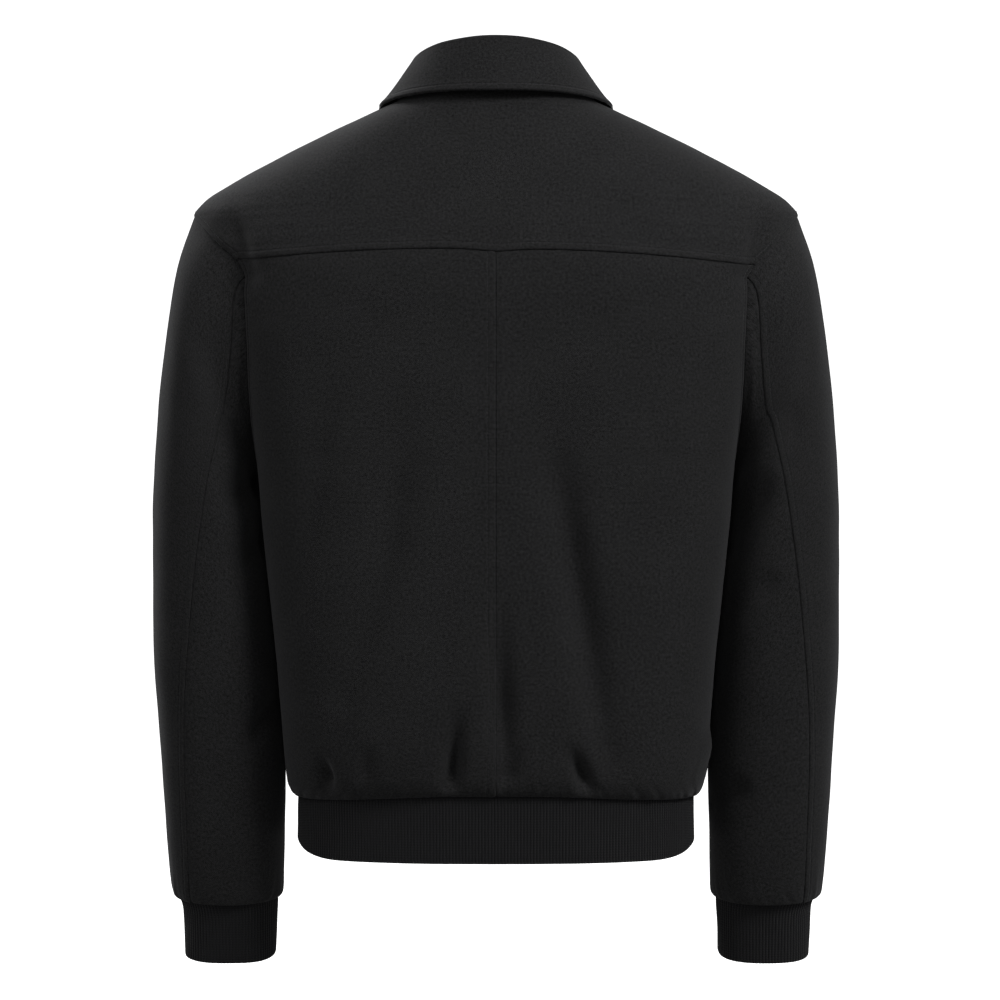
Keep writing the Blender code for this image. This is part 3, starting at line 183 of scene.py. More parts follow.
# Sharper creases in the same folds, which the CAD leaves to this script.
BACK_CREASES = (
    (-48, -275, -66, -410, -92, -550, 12, 12, -5.5, 0.55),
    (-5, -455, -4, -520, -9, -575, 8, 8, -4.0, 0.60),
    (31, -513, 35, -556, 40, -606, 6, 6, -7.0, 0.72),
    (-59, -546, -70, -575, -85, -606, 6, 6, -6.0, 0.66),
    (147, -556, 145, -579, 142, -606, 5, 6, -5.0, 0.62),
    (76, -290, 84, -400, 128, -505, 14, 13, -3.0, 0.50),
)
FRONT_FOLDS = (
    (48, -500, 52, -545, 58, -592, 9, 7, -4.5, 0.70),
    (112, -520, 116, -555, 120, -592, 9, 7, -4.0, 0.70),
    (-60, -510, -64, -550, -72, -592, 9, 7, -4.5, 0.70),
    (-124, -505, -122, -545, -118, -592, 9, 7, -4.0, 0.70),
    (95, -300, 84, -400, 70, -480, 17, 15, -3.0, 0.50),
    (-98, -300, -88, -400, -80, -480, 17, 15, -3.0, 0.50),
)
# Folds of the sleeves, on the side that faces back, then on the side that faces front.
SLEEVE_FOLDS = {
    ("left", "back"): (
        (241, -146, 230, -176, 217, -206, 10, 11, -4.5, 0.50),
        (238, -170, 236, -230, 228, -290, 14, 14, -5.0, 0.50),
        (228, -366, 214, -340, 199, -314, 13, 12, -6.5, 0.60),
        (221, -416, 207, -394, 194, -366, 12, 11, -5.0, 0.60),
        (214, -565, 203, -545, 186, -514, 8, 9, -6.0, 0.60),
    ),
    ("left", "front"): (
        (272, -330, 250, -350, 222, -352, 13, 12, -4.5, 0.50),
        (268, -440, 245, -458, 215, -450, 11, 11, -5.5, 0.50),
        (262, -560, 240, -574, 212, -566, 9, 9, -4.0, 0.50),
    ),
    ("right", "back"): (
        (238, -318, 222, -344, 203, -388, 12, 12, -6.5, 0.50),
        (242, -404, 230, -420, 216, -440, 10, 10, -3.5, 0.50),
        (218, -584, 203, -596, 186, -612, 10, 9, -4.5, 0.50),
        (254, -256, 254, -285, 251, -314, 11, 11, -3.5, 0.50),
    ),
    ("right", "front"): (
        (270, -322, 248, -344, 220, -350, 13, 12, -4.5, 0.50),
        (266, -452, 246, -466, 214, -462, 11, 11, -5.5, 0.50),
        (260, -548, 238, -566, 210, -560, 9, 9, -4.0, 0.50),
    ),
}
# How far from a seam the folds reach their depth: along the body, and in shares of the sleeve.
FOLDS_HELD = {"hem": 0.010, "armhole": 0.10, "cuff": 0.05}
SEAM_DIP = 0.0022  # the centre-back seam pulls the yoke seam down
SEAM_TILT = 0.0022  # the yoke seam sits a little lower on the wearer's right

# The collar: its fold line is a ring like a body section, and its leaf's edge lies on the body.
FOLD_RING = {"half_width": 0.0705, "back": 0.0655, "front": 0.0790, "centre_y": -0.012}
FOLD_TOP = {"side": 0.0300, "back": 0.0492, "front": -0.0420}
STAND_SHARE = 0.76  # of the way from the neck seam up to the fold line
ROLL_RADIUS = 0.0034
# Where the roll runs out into the leaf, in radians.
ROLL_END = {"side": 0.50, "back": 0.05, "front": 0.55}
FALL_BEND = 1.2
LEAF_AT_ROLL, LEAF_AT_FALL = 0.12, 0.35  # where along the leaf its roll and its fall begin
LEAF_END_UP = {"back": 0.6960, "side": 0.7040, "front": 0.5960}  # heights along the body
LEAF_LIFT = {"back": 0.0120, "side": 0.0034, "front": 0.0036}  # off the body
LEAF_POINT_ANGLE = math.radians(-61)  # where the collar points lie, round the body
COLLAR_FRONT_ANGLE = math.radians(-86.7)  # where the collar starts, beside the zip

# The zip, in metres.
TAPE_CLOTH = 0.0008
TAPE_INNER, TAPE_OUTER = 0.0010, 0.0170  # its edges, from the centre front
TEETH_HALF_WIDTH = 0.0030
TEETH_PROUD, TEETH_THICKNESS = -0.0002, 0.0019
TOOTH_PITCH = 0.0013
TOOTH = {"half_height": 0.00058, "corner": 0.00028}
CUFF_PITCH = 0.00253
KNIT_ROW = 0.0022  # the height of one row of knitted loops
ZIP_UPS, ZIP_STEPS_IN_HEM = (0.018, 0.714), 12  # where it runs on the fronts, and its steps below

# ---------------------------------------------------------------- finer form, in metres
SEAM_ROLL, SEAM_DEPTH = 0.0012, 0.0008  # how a seam's edges turn in
SEAM_TAPER = 0.35  # how much thinner the wall gets at a seam, on its inner side
EDGE_ROLL = 0.0010  # the rounding of a free edge
STITCH_GROOVE = {"half_width": 0.0008, "depth": 0.00035}
TUCK = 0.0003  # how far the lower side of a topstitched seam is drawn in
SWELL, SWELL_WAVE = 0.00014, 0.062
REACH, FAR = 0.060, 1.0  # an edge is felt this far in, and other points count as far from it
# Topstitched edges: how far in the stitches run, and how high the cloth is raised before them.
WELTS = {
    "yoke": {"width": 0.0057, "rise": 0.0010},
    "back": {"width": 0.0070, "rise": 0.0007},
    "collar": {"width": 0.0055, "rise": 0.0007},
    "sleeve": {"width": 0.0052, "rise": 0.0006},
    "front": {"width": 0.0065, "rise": 0.0004},
}
# Gathers along the first or last row of a panel: how high and long a wave is, and how far it reaches.
PUCKERS = {
    "yoke": {"pucker": 0.00012, "wave": 0.011, "reach": 0.008},
    "back": {"pucker": 0.0007, "wave": 0.017, "reach": 0.016},
    "front": {"pucker": 0.0006, "wave": 0.019, "reach": 0.016},
    "sleeve": {"pucker": 0.0006, "wave": 0.015, "reach": 0.014},
}
# Where each piece starts in the wavy patterns, so that no two are alike.
SEEDS = {
    "collar_stand": 0.4,
    "collar_leaf": 0.9,
    "yoke": 2.2,
    "back_left": 1.3,
    "back_right": 4.1,
    "front_left": 5.3,
    "front_right": 3.4,
    "upper_sleeve_left": 1.9,
    "upper_sleeve_right": 4.8,
    "under_sleeve_left": 2.7,
    "under_sleeve_right": 5.6,
    "hem_rib": 0.7,
    "cuff_left": 1.1,
    "cuff_right": 2.3,
}
STITCH = {"length": 0.0026, "pitch": 0.0033, "radius": 0.00026}
# The rings of one stitch: where along it, how wide, and how high above the cloth.
STITCH_RINGS = ((-0.5, 0.55, -0.5), (-0.28, 1.0, 0.35), (0.28, 1.0, 0.35), (0.5, 0.55, -0.5))
STITCH_AIM = 0.0008  # a stitch lies along the line between the points this far before and after it
RIB_DEPTH = 0.00085
RIB_SWAY = 0.0003
RIB_HELD, RIB_FREE = 0.55, 0.006  # the share of a rib's height at its seam, and where it is full
RIB_SAMPLES = 8  # points round each rib of the outer skin
BODY_MIDDLE = Vector((0, 0, -0.35))  # the body's panels face away from it

# The wool: its wales in metres, and how many fibre clumps, neps and patches there are in a metre.
WALE, WALE_ANGLE = 0.0012, math.radians(-52)
FIBRES, NEPS, PATCHES = 1100.0, 400.0, 22.0
WOOL_SHARES = {"wales": 0.14, "neps": 0.9, "patches": 0.12}  # beside the fibre clumps' share of 1
WOOL_TONES = (0.81, 1.35)  # the sums of the four that give the darkest and the lightest colour
WOOL_COLOURS = ((0.0035, 0.0035, 0.0036), (0.0380, 0.0381, 0.0391))
RIB_FIBRES = 1500
RIB_COLOURS = ((0.3, (0.0095, 0.0095, 0.0105)), (0.85, (0.0205, 0.0205, 0.0222)))

# ---------------------------------------------------------------- the photograph's view, in metres
LENS, SENSOR = 124.7, 36.0
CAMERA_PLACE = (-0.0035, 3.0, -0.3464)
SKY = {"below": 0.13, "above": 0.36}  # how bright the studio is under and over the jacket
LAMPS = (
    ("key", (-2.0, 1.9, 1.6), 1.1, 48.0),
    ("fill", (1.8, 2.0, 1.2), 1.6, 8.0),
    ("front_key", (2.0, -1.9, 1.6), 1.1, 48.0),
    ("front_fill", (-1.8, -2.0, 1.2), 1.6, 8.0),
)
LAMP_AIM = Vector((0, 0, -0.30))
FLOOR_Z, STUDIO_RADIUS, STUDIO_HEIGHT, WALL_PARTS = -0.95, 12.0, 16.0, 96


# ---------------------------------------------------------------- small maths
def unit(vectors):
    return vectors / np.linalg.norm(vectors, axis=-1, keepdims=True)


def column(table, names, name, at):
    """One named column of a table, read smoothly and without overshoot at "at"."""
    rows = np.array(table, float)
    x, y = rows[:, 0], rows[:, names.index(name)]
    width = np.diff(x)
    slope = np.diff(y) / width
    tangent = np.concatenate([slope[:1], np.zeros(len(x) - 2), slope[-1:]])
    rising = slope[:-1] * slope[1:] > 0
    mean = 2 * slope[:-1] * slope[1:] / np.where(rising, slope[:-1] + slope[1:], 1)
    tangent[1:-1] = np.where(rising, mean, 0)
    i = np.clip(np.searchsorted(x, at, side="right") - 1, 0, len(x) - 2)
    h = width[i]
    t = (at - x[i]) / h
    return (
        y[i] * (2 * t**3 - 3 * t**2 + 1)
        + h * tangent[i] * (t**3 - 2 * t**2 + t)
        + y[i + 1] * (3 * t**2 - 2 * t**3)
        + h * tangent[i + 1] * (t**3 - t**2)
    )


def columns(table, names, at):
    """Every named column of a table at "at", but for the first one, which is what "at" runs along."""
    return {name: column(table, names, name, at) for name in names[1:]}


def body_size(name, up):
    return column(BODY_SECTIONS, BODY_NAMES, name, up)


def ease(t):
    """0 below 0, 1 above 1, and smooth in between."""
    t = np.clip(t, 0, 1)
    return t * t * (3 - 2 * t)


def normals_of(surface, a, b, step_a, step_b):
    """The unit normal of surface(a, b), to the left of the way b runs when a runs up."""
    along_a = surface(a + step_a, b) - surface(a - step_a, b)
    along_b = surface(a, b + step_b) - surface(a, b - step_b)
    return unit(np.cross(along_b, along_a))


def fold_relief(points, folds):
    """How far a set of folds moves each point along its normal, from its x and z."""
    x, z = points[..., 0] * 1000, points[..., 2] * 1000
    total = np.zeros(x.shape)
    steps = np.linspace(0, 1, 9)
    for row in folds:
        f = dict(zip(FOLD_NAMES, row))
        px = (1 - steps) ** 2 * f["x0"] + 2 * steps * (1 - steps) * f["x1"] + steps**2 * f["x2"]
        pz = (1 - steps) ** 2 * f["z0"] + 2 * steps * (1 - steps) * f["z1"] + steps**2 * f["z2"]
        nearest = np.full(x.shape, 1e9)
        along = np.zeros(x.shape)
        for i in range(len(steps) - 1):
            dx, dz = px[i + 1] - px[i], pz[i + 1] - pz[i]
            t = np.clip(((x - px[i]) * dx + (z - pz[i]) * dz) / (dx * dx + dz * dz), 0, 1)
            gap = np.hypot(x - px[i] - t * dx, z - pz[i] - t * dz)
            closer = gap < nearest
            nearest = np.where(closer, gap, nearest)
            along = np.where(closer, (i + t) / (len(steps) - 1), along)
        width = f["width0"] + (f["width2"] - f["width0"]) * along
        rise = ease(along / f["peak"])
        fall = 1 - 0.55 * ease((along - f["peak"]) / (1.001 - f["peak"]))
        total += f["depth"] * rise * fall * np.exp(-((nearest / width) ** 2))
    return total / 1000


# ---------------------------------------------------------------- the body's surface
def section_radius(c, q, half_width, depth, blunt_x, blunt_y):
    """How far a section lies from its middle along the direction (c, q)."""
    across, away = np.abs(c) / half_width, np.abs(q) / depth
    radius = (across**blunt_x + away**blunt_x) ** (-1 / blunt_x)
    for _ in range(7):
        a, b = (radius * across) ** blunt_x, (radius * away) ** blunt_y
        radius = radius - (a + b - 1) * radius / (blunt_x * a + blunt_y * b)
    return radius


def body_plain(up, angle):
    """A point of the body without folds: angle 0 is the wearer's left, a quarter turn the back."""
    value = columns(BODY_SECTIONS, BODY_NAMES, up)
    c, q = np.cos(angle), np.sin(angle)
    depth = np.where(q > 0, value["back"], value["front"])
    radius = section_radius(c, q, value["half_width"], depth, value["blunt_x"], value["blunt_y"])
    share = np.abs(radius * q / depth)
    z_end = np.where(q > 0, value["z_back"], value["z_front"])
    to_neck = ease((up - SHOULDER) / (0.95 * (NECK - SHOULDER)))
    bend = HEIGHT_BEND["body"] + (HEIGHT_BEND["neck"] - HEIGHT_BEND["body"]) * to_neck
    z = value["z_side"] + (z_end - value["z_side"]) * share**bend
    x = radius * c
    at_seam = np.exp(-(((up - YOKE_SEAM) / 0.03) ** 2)) * ease(q * 4)
    z = z - SEAM_DIP * np.exp(-((x / 0.020) ** 2)) * at_seam
    z = z + SEAM_TILT * (x / 0.21) * at_seam
    return np.stack(np.broadcast_arrays(x, value["centre_y"] + radius * q, z), axis=-1)


def body(up, angle):
    """A point of the body's outer surface, with its folds."""
    up, angle = np.broadcast_arrays(np.asarray(up, float), np.asarray(angle, float))
    points = body_plain(up, angle)
    normal = normals_of(body_plain, up, angle, 1e-4, 1e-3)
    at_back, at_front = ease(np.sin(angle) * 5), ease(-np.sin(angle) * 5)
    held = 1 - np.exp(-((up / FOLDS_HELD["hem"]) ** 2))
    height = fold_relief(points, BACK_FOLDS + BACK_CREASES) * at_back
    height = height + fold_relief(points, FRONT_FOLDS) * at_front
    return points + normal * (height * held)[..., None]


def body_normal(up, angle):
    return normals_of(body, up, angle, 2e-4, 2e-3)


def angle_at(up, away):
    """The angle at which a section passes "away" behind its middle, or in front of it below zero."""
    depth = body_size("back" if np.all(np.asarray(away) >= 0) else "front", up)
    share = (1 - np.abs(away / depth) ** body_size("blunt_y", up)) ** (1 / body_size("blunt_x", up))
    return np.arctan2(away, body_size("half_width", up) * share)


def armhole_place(step, behind):
    """(height along the body, angle) of a step of the armhole, on its back or its front half."""
    up = column(ARMHOLE, ARMHOLE_NAMES, "up", step)
    if behind:
        return up, angle_at(up, column(ARMHOLE, ARMHOLE_NAMES, "behind", step))
    return up, angle_at(up, -column(ARMHOLE, ARMHOLE_NAMES, "ahead", step))


def shoulder_seam(up):
    """The angle of the shoulder seam, which drifts to the front between the shoulder and the neck."""
    return -0.36 * ease((up - SHOULDER) / (NECK - SHOULDER)) ** 0.8


def front_edge(up):
    """The angle of a front's edge beside the zip."""
    return -math.pi / 2 + FRONT_GAP / body_size("front", up)


def spaced_angles(up, start, end, shares):
    """Angles between start and end at the given shares of the length along the section."""
    fine = np.linspace(start, end, 241)
    points = body_plain(np.full(fine.shape, up), fine)
    length = np.concatenate([[0], np.cumsum(np.linalg.norm(np.diff(points, axis=0), axis=1))])
    return np.interp(np.asarray(shares) * length[-1], length, fine)


# ---------------------------------------------------------------- the sleeves' surface
def mirrored(points, side):
    """Points of the left side as they are, or turned over to the right side."""
    return points * np.array([-1, 1, 1]) if side == "right" else points


def sleeve_ring(down, turn):
    """A point of the left sleeve's plain tube. turn is 0 outside and a quarter turn at the back."""
    value = columns(SLEEVE_SECTIONS, SLEEVE_NAMES, down)
    c, q = np.cos(turn), np.sin(turn)
    n = value["square"]
    radius = (np.abs(c) ** n + np.abs(q) ** n) ** (-1 / n)
    depth = np.where(q > 0, value["back"], value["front"])
    mid_x, mid_z = (value["x_out"] + value["x_in"]) / 2, (value["z_out"] + value["z_in"]) / 2
    out_x, out_z = (value["x_out"] - value["x_in"]) / 2, (value["z_out"] - value["z_in"]) / 2
    away = depth * radius * q
    x = mid_x + out_x * radius * c
    z = mid_z + out_z * radius * c - value["pitch"] * away
    return np.stack(np.broadcast_arrays(x, value["centre_y"] + away, z), axis=-1)


def armhole_loop(step):
    """The armhole seam: 0 at the underarm, ARM_STEPS at the shoulder by the back, then the front."""
    step = np.asarray(step, float)
    behind = np.clip(step, 0, ARM_STEPS)
    ahead = np.clip(2 * ARM_STEPS - step, 0, ARM_STEPS)
    up_b, angle_b = armhole_place(behind, True)
    up_f, angle_f = armhole_place(ahead, False)
    at_back = step <= ARM_STEPS
    return body(np.where(at_back, up_b, up_f), np.where(at_back, angle_b, angle_f))


def loop_turn(step):
    """The turn of each armhole point as seen from the sleeve's first section."""
    first = {name: SLEEVE_SECTIONS[0][i] for i, name in enumerate(SLEEVE_NAMES)}
    out = np.array([first["x_out"] - first["x_in"], first["z_out"] - first["z_in"]]) / 2
    mid = np.array([first["x_out"] + first["x_in"], first["z_out"] + first["z_in"]]) / 2
    p = armhole_loop(step)
    across = ((p[..., 0] - mid[0]) * out[0] + (p[..., 2] - mid[1]) * out[1]) / (out @ out)
    behind = np.asarray(step) <= ARM_STEPS
    depth = np.where(behind, first["back"], first["front"])
    turn = np.arctan2((p[..., 1] - first["centre_y"]) / depth, across)
    top = np.abs(np.asarray(step) - ARM_STEPS) < 0.5
    under = (np.asarray(step) < 0.5) | (np.asarray(step) > 2 * ARM_STEPS - 0.5)
    turn = np.where(behind & ~top & (turn < 0), turn + 2 * math.pi, turn)
    turn = np.where(under & behind & (turn < 0), turn + 2 * math.pi, turn)
    return np.where(~behind & ~top & (turn > 0), turn - 2 * math.pi, turn)


def seam_turn(step, down):
    """The turn of each column once the sleeve hangs free: both seams lie on columns of their own."""
    back = np.radians(column(SLEEVE_SEAMS, SLEEVE_SEAM_NAMES, "back_seam", down))
    front = np.radians(column(SLEEVE_SEAMS, SLEEVE_SEAM_NAMES, "front_seam", down))
    knots = (
        (0, BACK_SEAM_STEP, math.pi, back),
        (BACK_SEAM_STEP, ARM_STEPS, back, 0 * back),
        (ARM_STEPS, FRONT_SEAM_STEP, 0 * back, -front),
        (FRONT_SEAM_STEP, 2 * ARM_STEPS, -front, -math.pi),
    )
    turn = np.zeros(np.broadcast(step, down).shape)
    for first, last, start, end in knots:
        t = (step - first) / (last - first)
        turn = np.where((t >= 0) & (t <= 1), start + (end - start) * t, turn)
    return turn


def sleeve(down, step, side="left"):
    """A point of a sleeve's outer surface. step goes round the sleeve as it goes round the armhole."""
    down, step = np.broadcast_arrays(np.asarray(down, float), np.asarray(step, float))
    start = loop_turn(step)
    share = ease(down / np.where(step <= ARM_STEPS, TURN_FADE["back"], TURN_FADE["front"]))
    turn = start * (1 - share) + seam_turn(step, down) * share
    rest = armhole_loop(step) - sleeve_ring(np.zeros(step.shape), start)
    under = np.abs(step - ARM_STEPS) / ARM_STEPS
    fade = np.clip(1 - down / LOOP_FADE, 0, 1) ** (2 + 3 * under)
    points = sleeve_ring(down, turn) + rest * fade[..., None]
    normal = ring_normal(down, turn)
    away = points[..., 1] - column(SLEEVE_SECTIONS, SLEEVE_NAMES, "centre_y", down)
    at_back, at_front = ease(away / 0.02), ease(-away / 0.02)
    height = fold_relief(points, SLEEVE_FOLDS[side, "back"]) * at_back
    height = height + fold_relief(points, SLEEVE_FOLDS[side, "front"]) * at_front
    held = ease(down / FOLDS_HELD["armhole"]) * ease((1 - down) / FOLDS_HELD["cuff"])
    points = points + normal * (height * held)[..., None]
    points[..., 0] += SWAY[side] * ease((down - SWAY_START) / SWAY_RUN)
    return mirrored(points, side)


def ring_normal(down, turn):
    """The outward normal of the left sleeve's plain tube."""
    along = sleeve_ring(down + 1e-3, turn) - sleeve_ring(down - 1e-3, turn)
    around = sleeve_ring(down, turn + 1e-3) - sleeve_ring(down, turn - 1e-3)
    return unit(np.cross(along, around))


# ---------------------------------------------------------------- collar
def around_neck(angle, values):
    """A value that is set at the side, the back and the front, blended round the neck."""
    q = np.sin(angle)
    to_back, to_front = np.clip(q, 0, 1) ** 0.85, np.clip(-q, 0, 1) ** 2
    side = values["side"]
    return side + (values["back"] - side) * to_back + (values["front"] - side) * to_front


def fold_line(angle):
    """The collar's fold line, in the middle of its stand."""
    c, q = np.cos(angle), np.sin(angle)
    depth = np.where(q > 0, FOLD_RING["back"], FOLD_RING["front"])
    radius = ((c / FOLD_RING["half_width"]) ** 2 + (q / depth) ** 2) ** -0.5
    z = around_neck(angle, FOLD_TOP)
    return np.stack(np.broadcast_arrays(radius * c, FOLD_RING["centre_y"] + radius * q, z), axis=-1)


def stand_point(share, angle):
    """The stand's outer skin, from the neck seam (0) to the fold line (1)."""
    share = np.asarray(share, float)[..., None]
    lowest = body(np.full(np.shape(angle), NECK), angle)
    return lowest + (fold_line(angle) - lowest) * share


def outward(angle):
    """The level way out from the neck."""
    ahead = fold_line(angle + 1e-3) - fold_line(angle - 1e-3)
    flat = ahead * np.array([1, 1, 0])
    return unit(np.cross(flat, (0, 0, 1)))


def fold_up(angle):
    """The way up from the fold line, square to it."""
    ahead = unit(fold_line(angle + 1e-3) - fold_line(angle - 1e-3))
    return unit(np.cross(outward(angle), ahead))


def leaf_end(angle):
    """Where the leaf's edge lies below a point of the fold line: height, angle and lift off the body."""
    c = np.cos(angle)
    ahead = np.arctan2(np.sin(angle), np.abs(c))
    to_back, to_front = ease(ahead / (math.pi / 2)), np.clip(ahead / COLLAR_FRONT_ANGLE, 0, 1)
    on_body = np.where(ahead > 0, ahead, LEAF_POINT_ANGLE * to_front)
    on_body = np.where(c < 0, math.pi - on_body, on_body)
    share = np.where(ahead > 0, to_back, to_front**1.8)
    place = []
    for value in (LEAF_END_UP, LEAF_LIFT):
        end = np.where(ahead > 0, value["back"], value["front"])
        place.append(value["side"] + (end - value["side"]) * share)
    return place[0], on_body, place[1]


def leaf_point(along, angle):
    """The collar leaf's outer skin: up inside the neck, over the fold and down to its edge."""
    along, angle = np.broadcast_arrays(np.asarray(along, float), np.asarray(angle, float))
    out, up = outward(angle), fold_up(angle)
    low = stand_point(np.full(angle.shape, STAND_SHARE), angle)
    centre = fold_line(angle) + out * (ROLL_RADIUS - COLLAR_CLOTH) - up * ROLL_RADIUS
    rise = np.clip(along / LEAF_AT_ROLL, 0, 1)[..., None]
    inside = low - out * COLLAR_CLOTH
    start = inside + (centre - out * ROLL_RADIUS - inside) * rise
    stop = around_neck(angle, ROLL_END)
    rolling = np.clip((along - LEAF_AT_ROLL) / (LEAF_AT_FALL - LEAF_AT_ROLL), 0, 1)
    turn = math.pi + (stop - math.pi) * rolling
    rolled = centre + (np.cos(turn)[..., None] * out + np.sin(turn)[..., None] * up) * ROLL_RADIUS
    high = centre + (np.cos(stop)[..., None] * out + np.sin(stop)[..., None] * up) * ROLL_RADIUS
    t = np.clip((along - LEAF_AT_FALL) / (1 - LEAF_AT_FALL), 0, 1)
    end_up, end_angle, lift = leaf_end(angle)
    height, around = NECK + (end_up - NECK) * t, angle + (end_angle - angle) * t
    left = ((1 - t) ** FALL_BEND)[..., None]
    fallen = body(height, around) + (high - body(np.full(angle.shape, NECK), angle)) * left
    fallen = fallen + body_normal(height, around) * lift[..., None] * (1 - left)
    along = along[..., None]
    return np.where(along < LEAF_AT_ROLL, start, np.where(along < LEAF_AT_FALL, rolled, fallen))


def collar_angles():
    """Angles from the left front edge round the back to the right one, closer together at both ends."""
    full = math.pi - 2 * COLLAR_FRONT_ANGLE
    return COLLAR_FRONT_ANGLE + full * runs((0, 0.035, 20), (0.035, 0.965, 230), (0.965, 1, 20))


def collar_stand(material):
    shares = runs((0, 0.05, 4), (0.05, STAND_SHARE, 14))
    share, angle = np.meshgrid(shares, collar_angles(), indexing="ij")
    edges = [edge_of(side, "seam") for side in ("first_row", "last_row")]
    edges += [edge_of(side, "fold") for side in ("first_col", "last_col")]
    points = stand_point(share, angle)
    panel("collar_stand", points, Vector((0, 0, -0.02)), edges, material, COLLAR_CLOTH)


def collar_leaf(material):
    rising, rolling = (0, LEAF_AT_ROLL, 4), (LEAF_AT_ROLL, LEAF_AT_FALL, 16)
    rows = runs(rising, rolling, (LEAF_AT_FALL, 0.84, 32), (0.84, 1, 30))
    along, angle = np.meshgrid(rows, collar_angles(), indexing="ij")
    points = leaf_point(along, angle)
    edges = [edge_of("first_row", "seam"), edge_of("last_row", "fold", **WELTS["collar"])]
    for side in ("first_col", "last_col"):
        edges.append(edge_of(side, "fold", part=(len(rows) // 2, None), **WELTS["collar"]))
    panel("collar_leaf", points, roll_line(angle[0]), edges, material, COLLAR_CLOTH)


def roll_line(angle):
    """The line that the collar rolls round, which both of its sides face away from."""
    return fold_line(angle) - fold_up(angle) * 0.012 - outward(angle) * 0.001


# ---------------------------------------------------------------- finer cloth shells
def runs(*parts):
    """Numbers from the first to the last of a few runs, each given as (start, end, steps)."""
    pieces = [np.linspace(start, end, steps, endpoint=False) for start, end, steps in parts]
    return np.concatenate(pieces + [[parts[-1][1]]])


def facing(points, centre, ring=False):
    """Unit normals of a grid of points, on the side that faces away from a centre."""
    along = np.gradient(points, axis=0)
    if ring:
        around = np.roll(points, -1, axis=1) - np.roll(points, 1, axis=1)
    else:
        around = np.gradient(points, axis=1)
    normal = unit(np.cross(along, around))
    return normal * np.sign((normal * (points - centre)).sum())


def arc(points, axis):
    """How far each point of a grid is from its first row (axis 0) or column (axis 1), along the cloth."""
    step = np.linalg.norm(np.diff(points, axis=axis), axis=-1)
    start = np.zeros_like(step.take([0], axis=axis))
    return np.concatenate([start, np.cumsum(step, axis=axis)], axis=axis)


def read_line(at, length, values):
    """The x, y and z of values along a line, read where its length is "at"."""
    return np.stack([np.interp(at, length, values[:, k]) for k in range(3)], axis=1)


def filled_in(curve, step=0.0004):
    """The same curve with a point every step."""
    length = arc(curve, 0)
    return read_line(np.linspace(0, length[-1], max(2, int(length[-1] / step))), length, curve)


def search_tree(points):
    """A tree that finds the nearest one of these points."""
    tree = KDTree(len(points))
    for i, p in enumerate(points):
        tree.insert(p, i)
    tree.balance()
    return tree


def distance_to(points, curve, near):
    """The distance from each point of a grid to a curve, looked up only where near is true."""
    tree = search_tree(filled_in(curve))
    distance = np.full(points.shape[:-1], FAR)
    distance[near] = [tree.find(p)[2] for p in points[near]]
    return distance


def ripple(at, wave, seed):
    """A wavy line of about +-1 that doesn't repeat soon, for puckers along a seam."""
    turns = at / wave * 2 * math.pi
    waves = np.sin(turns + seed) + np.sin(1.618 * turns + 2.1 * seed) + np.sin(0.731 * turns + 3.7 * seed)
    return waves / 2


def unevenness(across, along, seed):
    """The slight swell of cloth that lies over nothing, about +-1."""
    a, b = across / SWELL_WAVE * 2 * math.pi, along / SWELL_WAVE * 2 * math.pi
    return (
        np.sin(a + 0.6 * b + seed)
        + np.sin(1.3 * b - 0.8 * a + 2 * seed)
        + np.sin(1.7 * a + 0.9 * b + 3 * seed) * np.sin(0.6 * b + seed)
    ) / 2.2


def edge_roll(distance, radius, depth):
    """How far the cloth has turned in at a distance from its edge, as a quarter round."""
    near = np.clip(1 - distance / radius, 0, 1)
    return -depth * (1 - np.sqrt(1 - near**2))


def bump(distance, width):
    return np.exp(-((distance / width) ** 2))


def welt(distance, edge):
    """The relief of a topstitched edge: puffed between the edge and its stitches, and pulled in at them."""
    width, rise = edge["width"], edge["rise"]
    puff = np.sqrt(np.clip(np.sin(math.pi * np.clip(distance / width, 0, 1) ** 0.8), 0, 1))
    step = 0.45 * (1 - ease((distance - width) / 0.0050))
    groove = bump(distance - width, STITCH_GROOVE["half_width"])
    return rise * (0.55 * puff + step) - STITCH_GROOVE["depth"] * groove


def relief(points, across, along, edges, seed):
    """(outer, inner) height of the cloth off its plain surface, from the treatment of each edge."""
    swell = SWELL * unevenness(across, along, seed)
    outer, inner = swell.copy(), swell.copy()
    down, over = arc(points, 0), arc(points, 1)
    from_side = {
        "first_row": down,
        "last_row": down[-1:] - down,
        "first_col": over,
        "last_col": over[:, -1:] - over,
    }
    for edge in edges:
        distance = distance_to(points, edge["curve"], from_side[edge["side"]] < REACH)
        kind = edge["kind"]
        if kind in ("seam", "welt", "tuck"):
            outer += edge_roll(distance, SEAM_ROLL, SEAM_DEPTH)
            inner += CLOTH * SEAM_TAPER * (1 - ease(distance / 0.003))
        if kind == "fold":
            outer += edge_roll(distance, EDGE_ROLL, EDGE_ROLL)
            inner -= edge_roll(distance, EDGE_ROLL, 0.7 * EDGE_ROLL)
        if "width" in edge:
            outer += welt(distance, edge)
        if kind == "tuck":
            outer -= TUCK * bump(distance, 0.0030)
        if "pucker" in edge:
            wave = ripple(arc(points, 1), edge["wave"], seed + edge["wave"] * 1000)
            wave = edge["pucker"] * wave * np.exp(-distance / edge["reach"]) * ease(distance / 0.004)
            outer += wave
            inner += wave
    return outer, inner


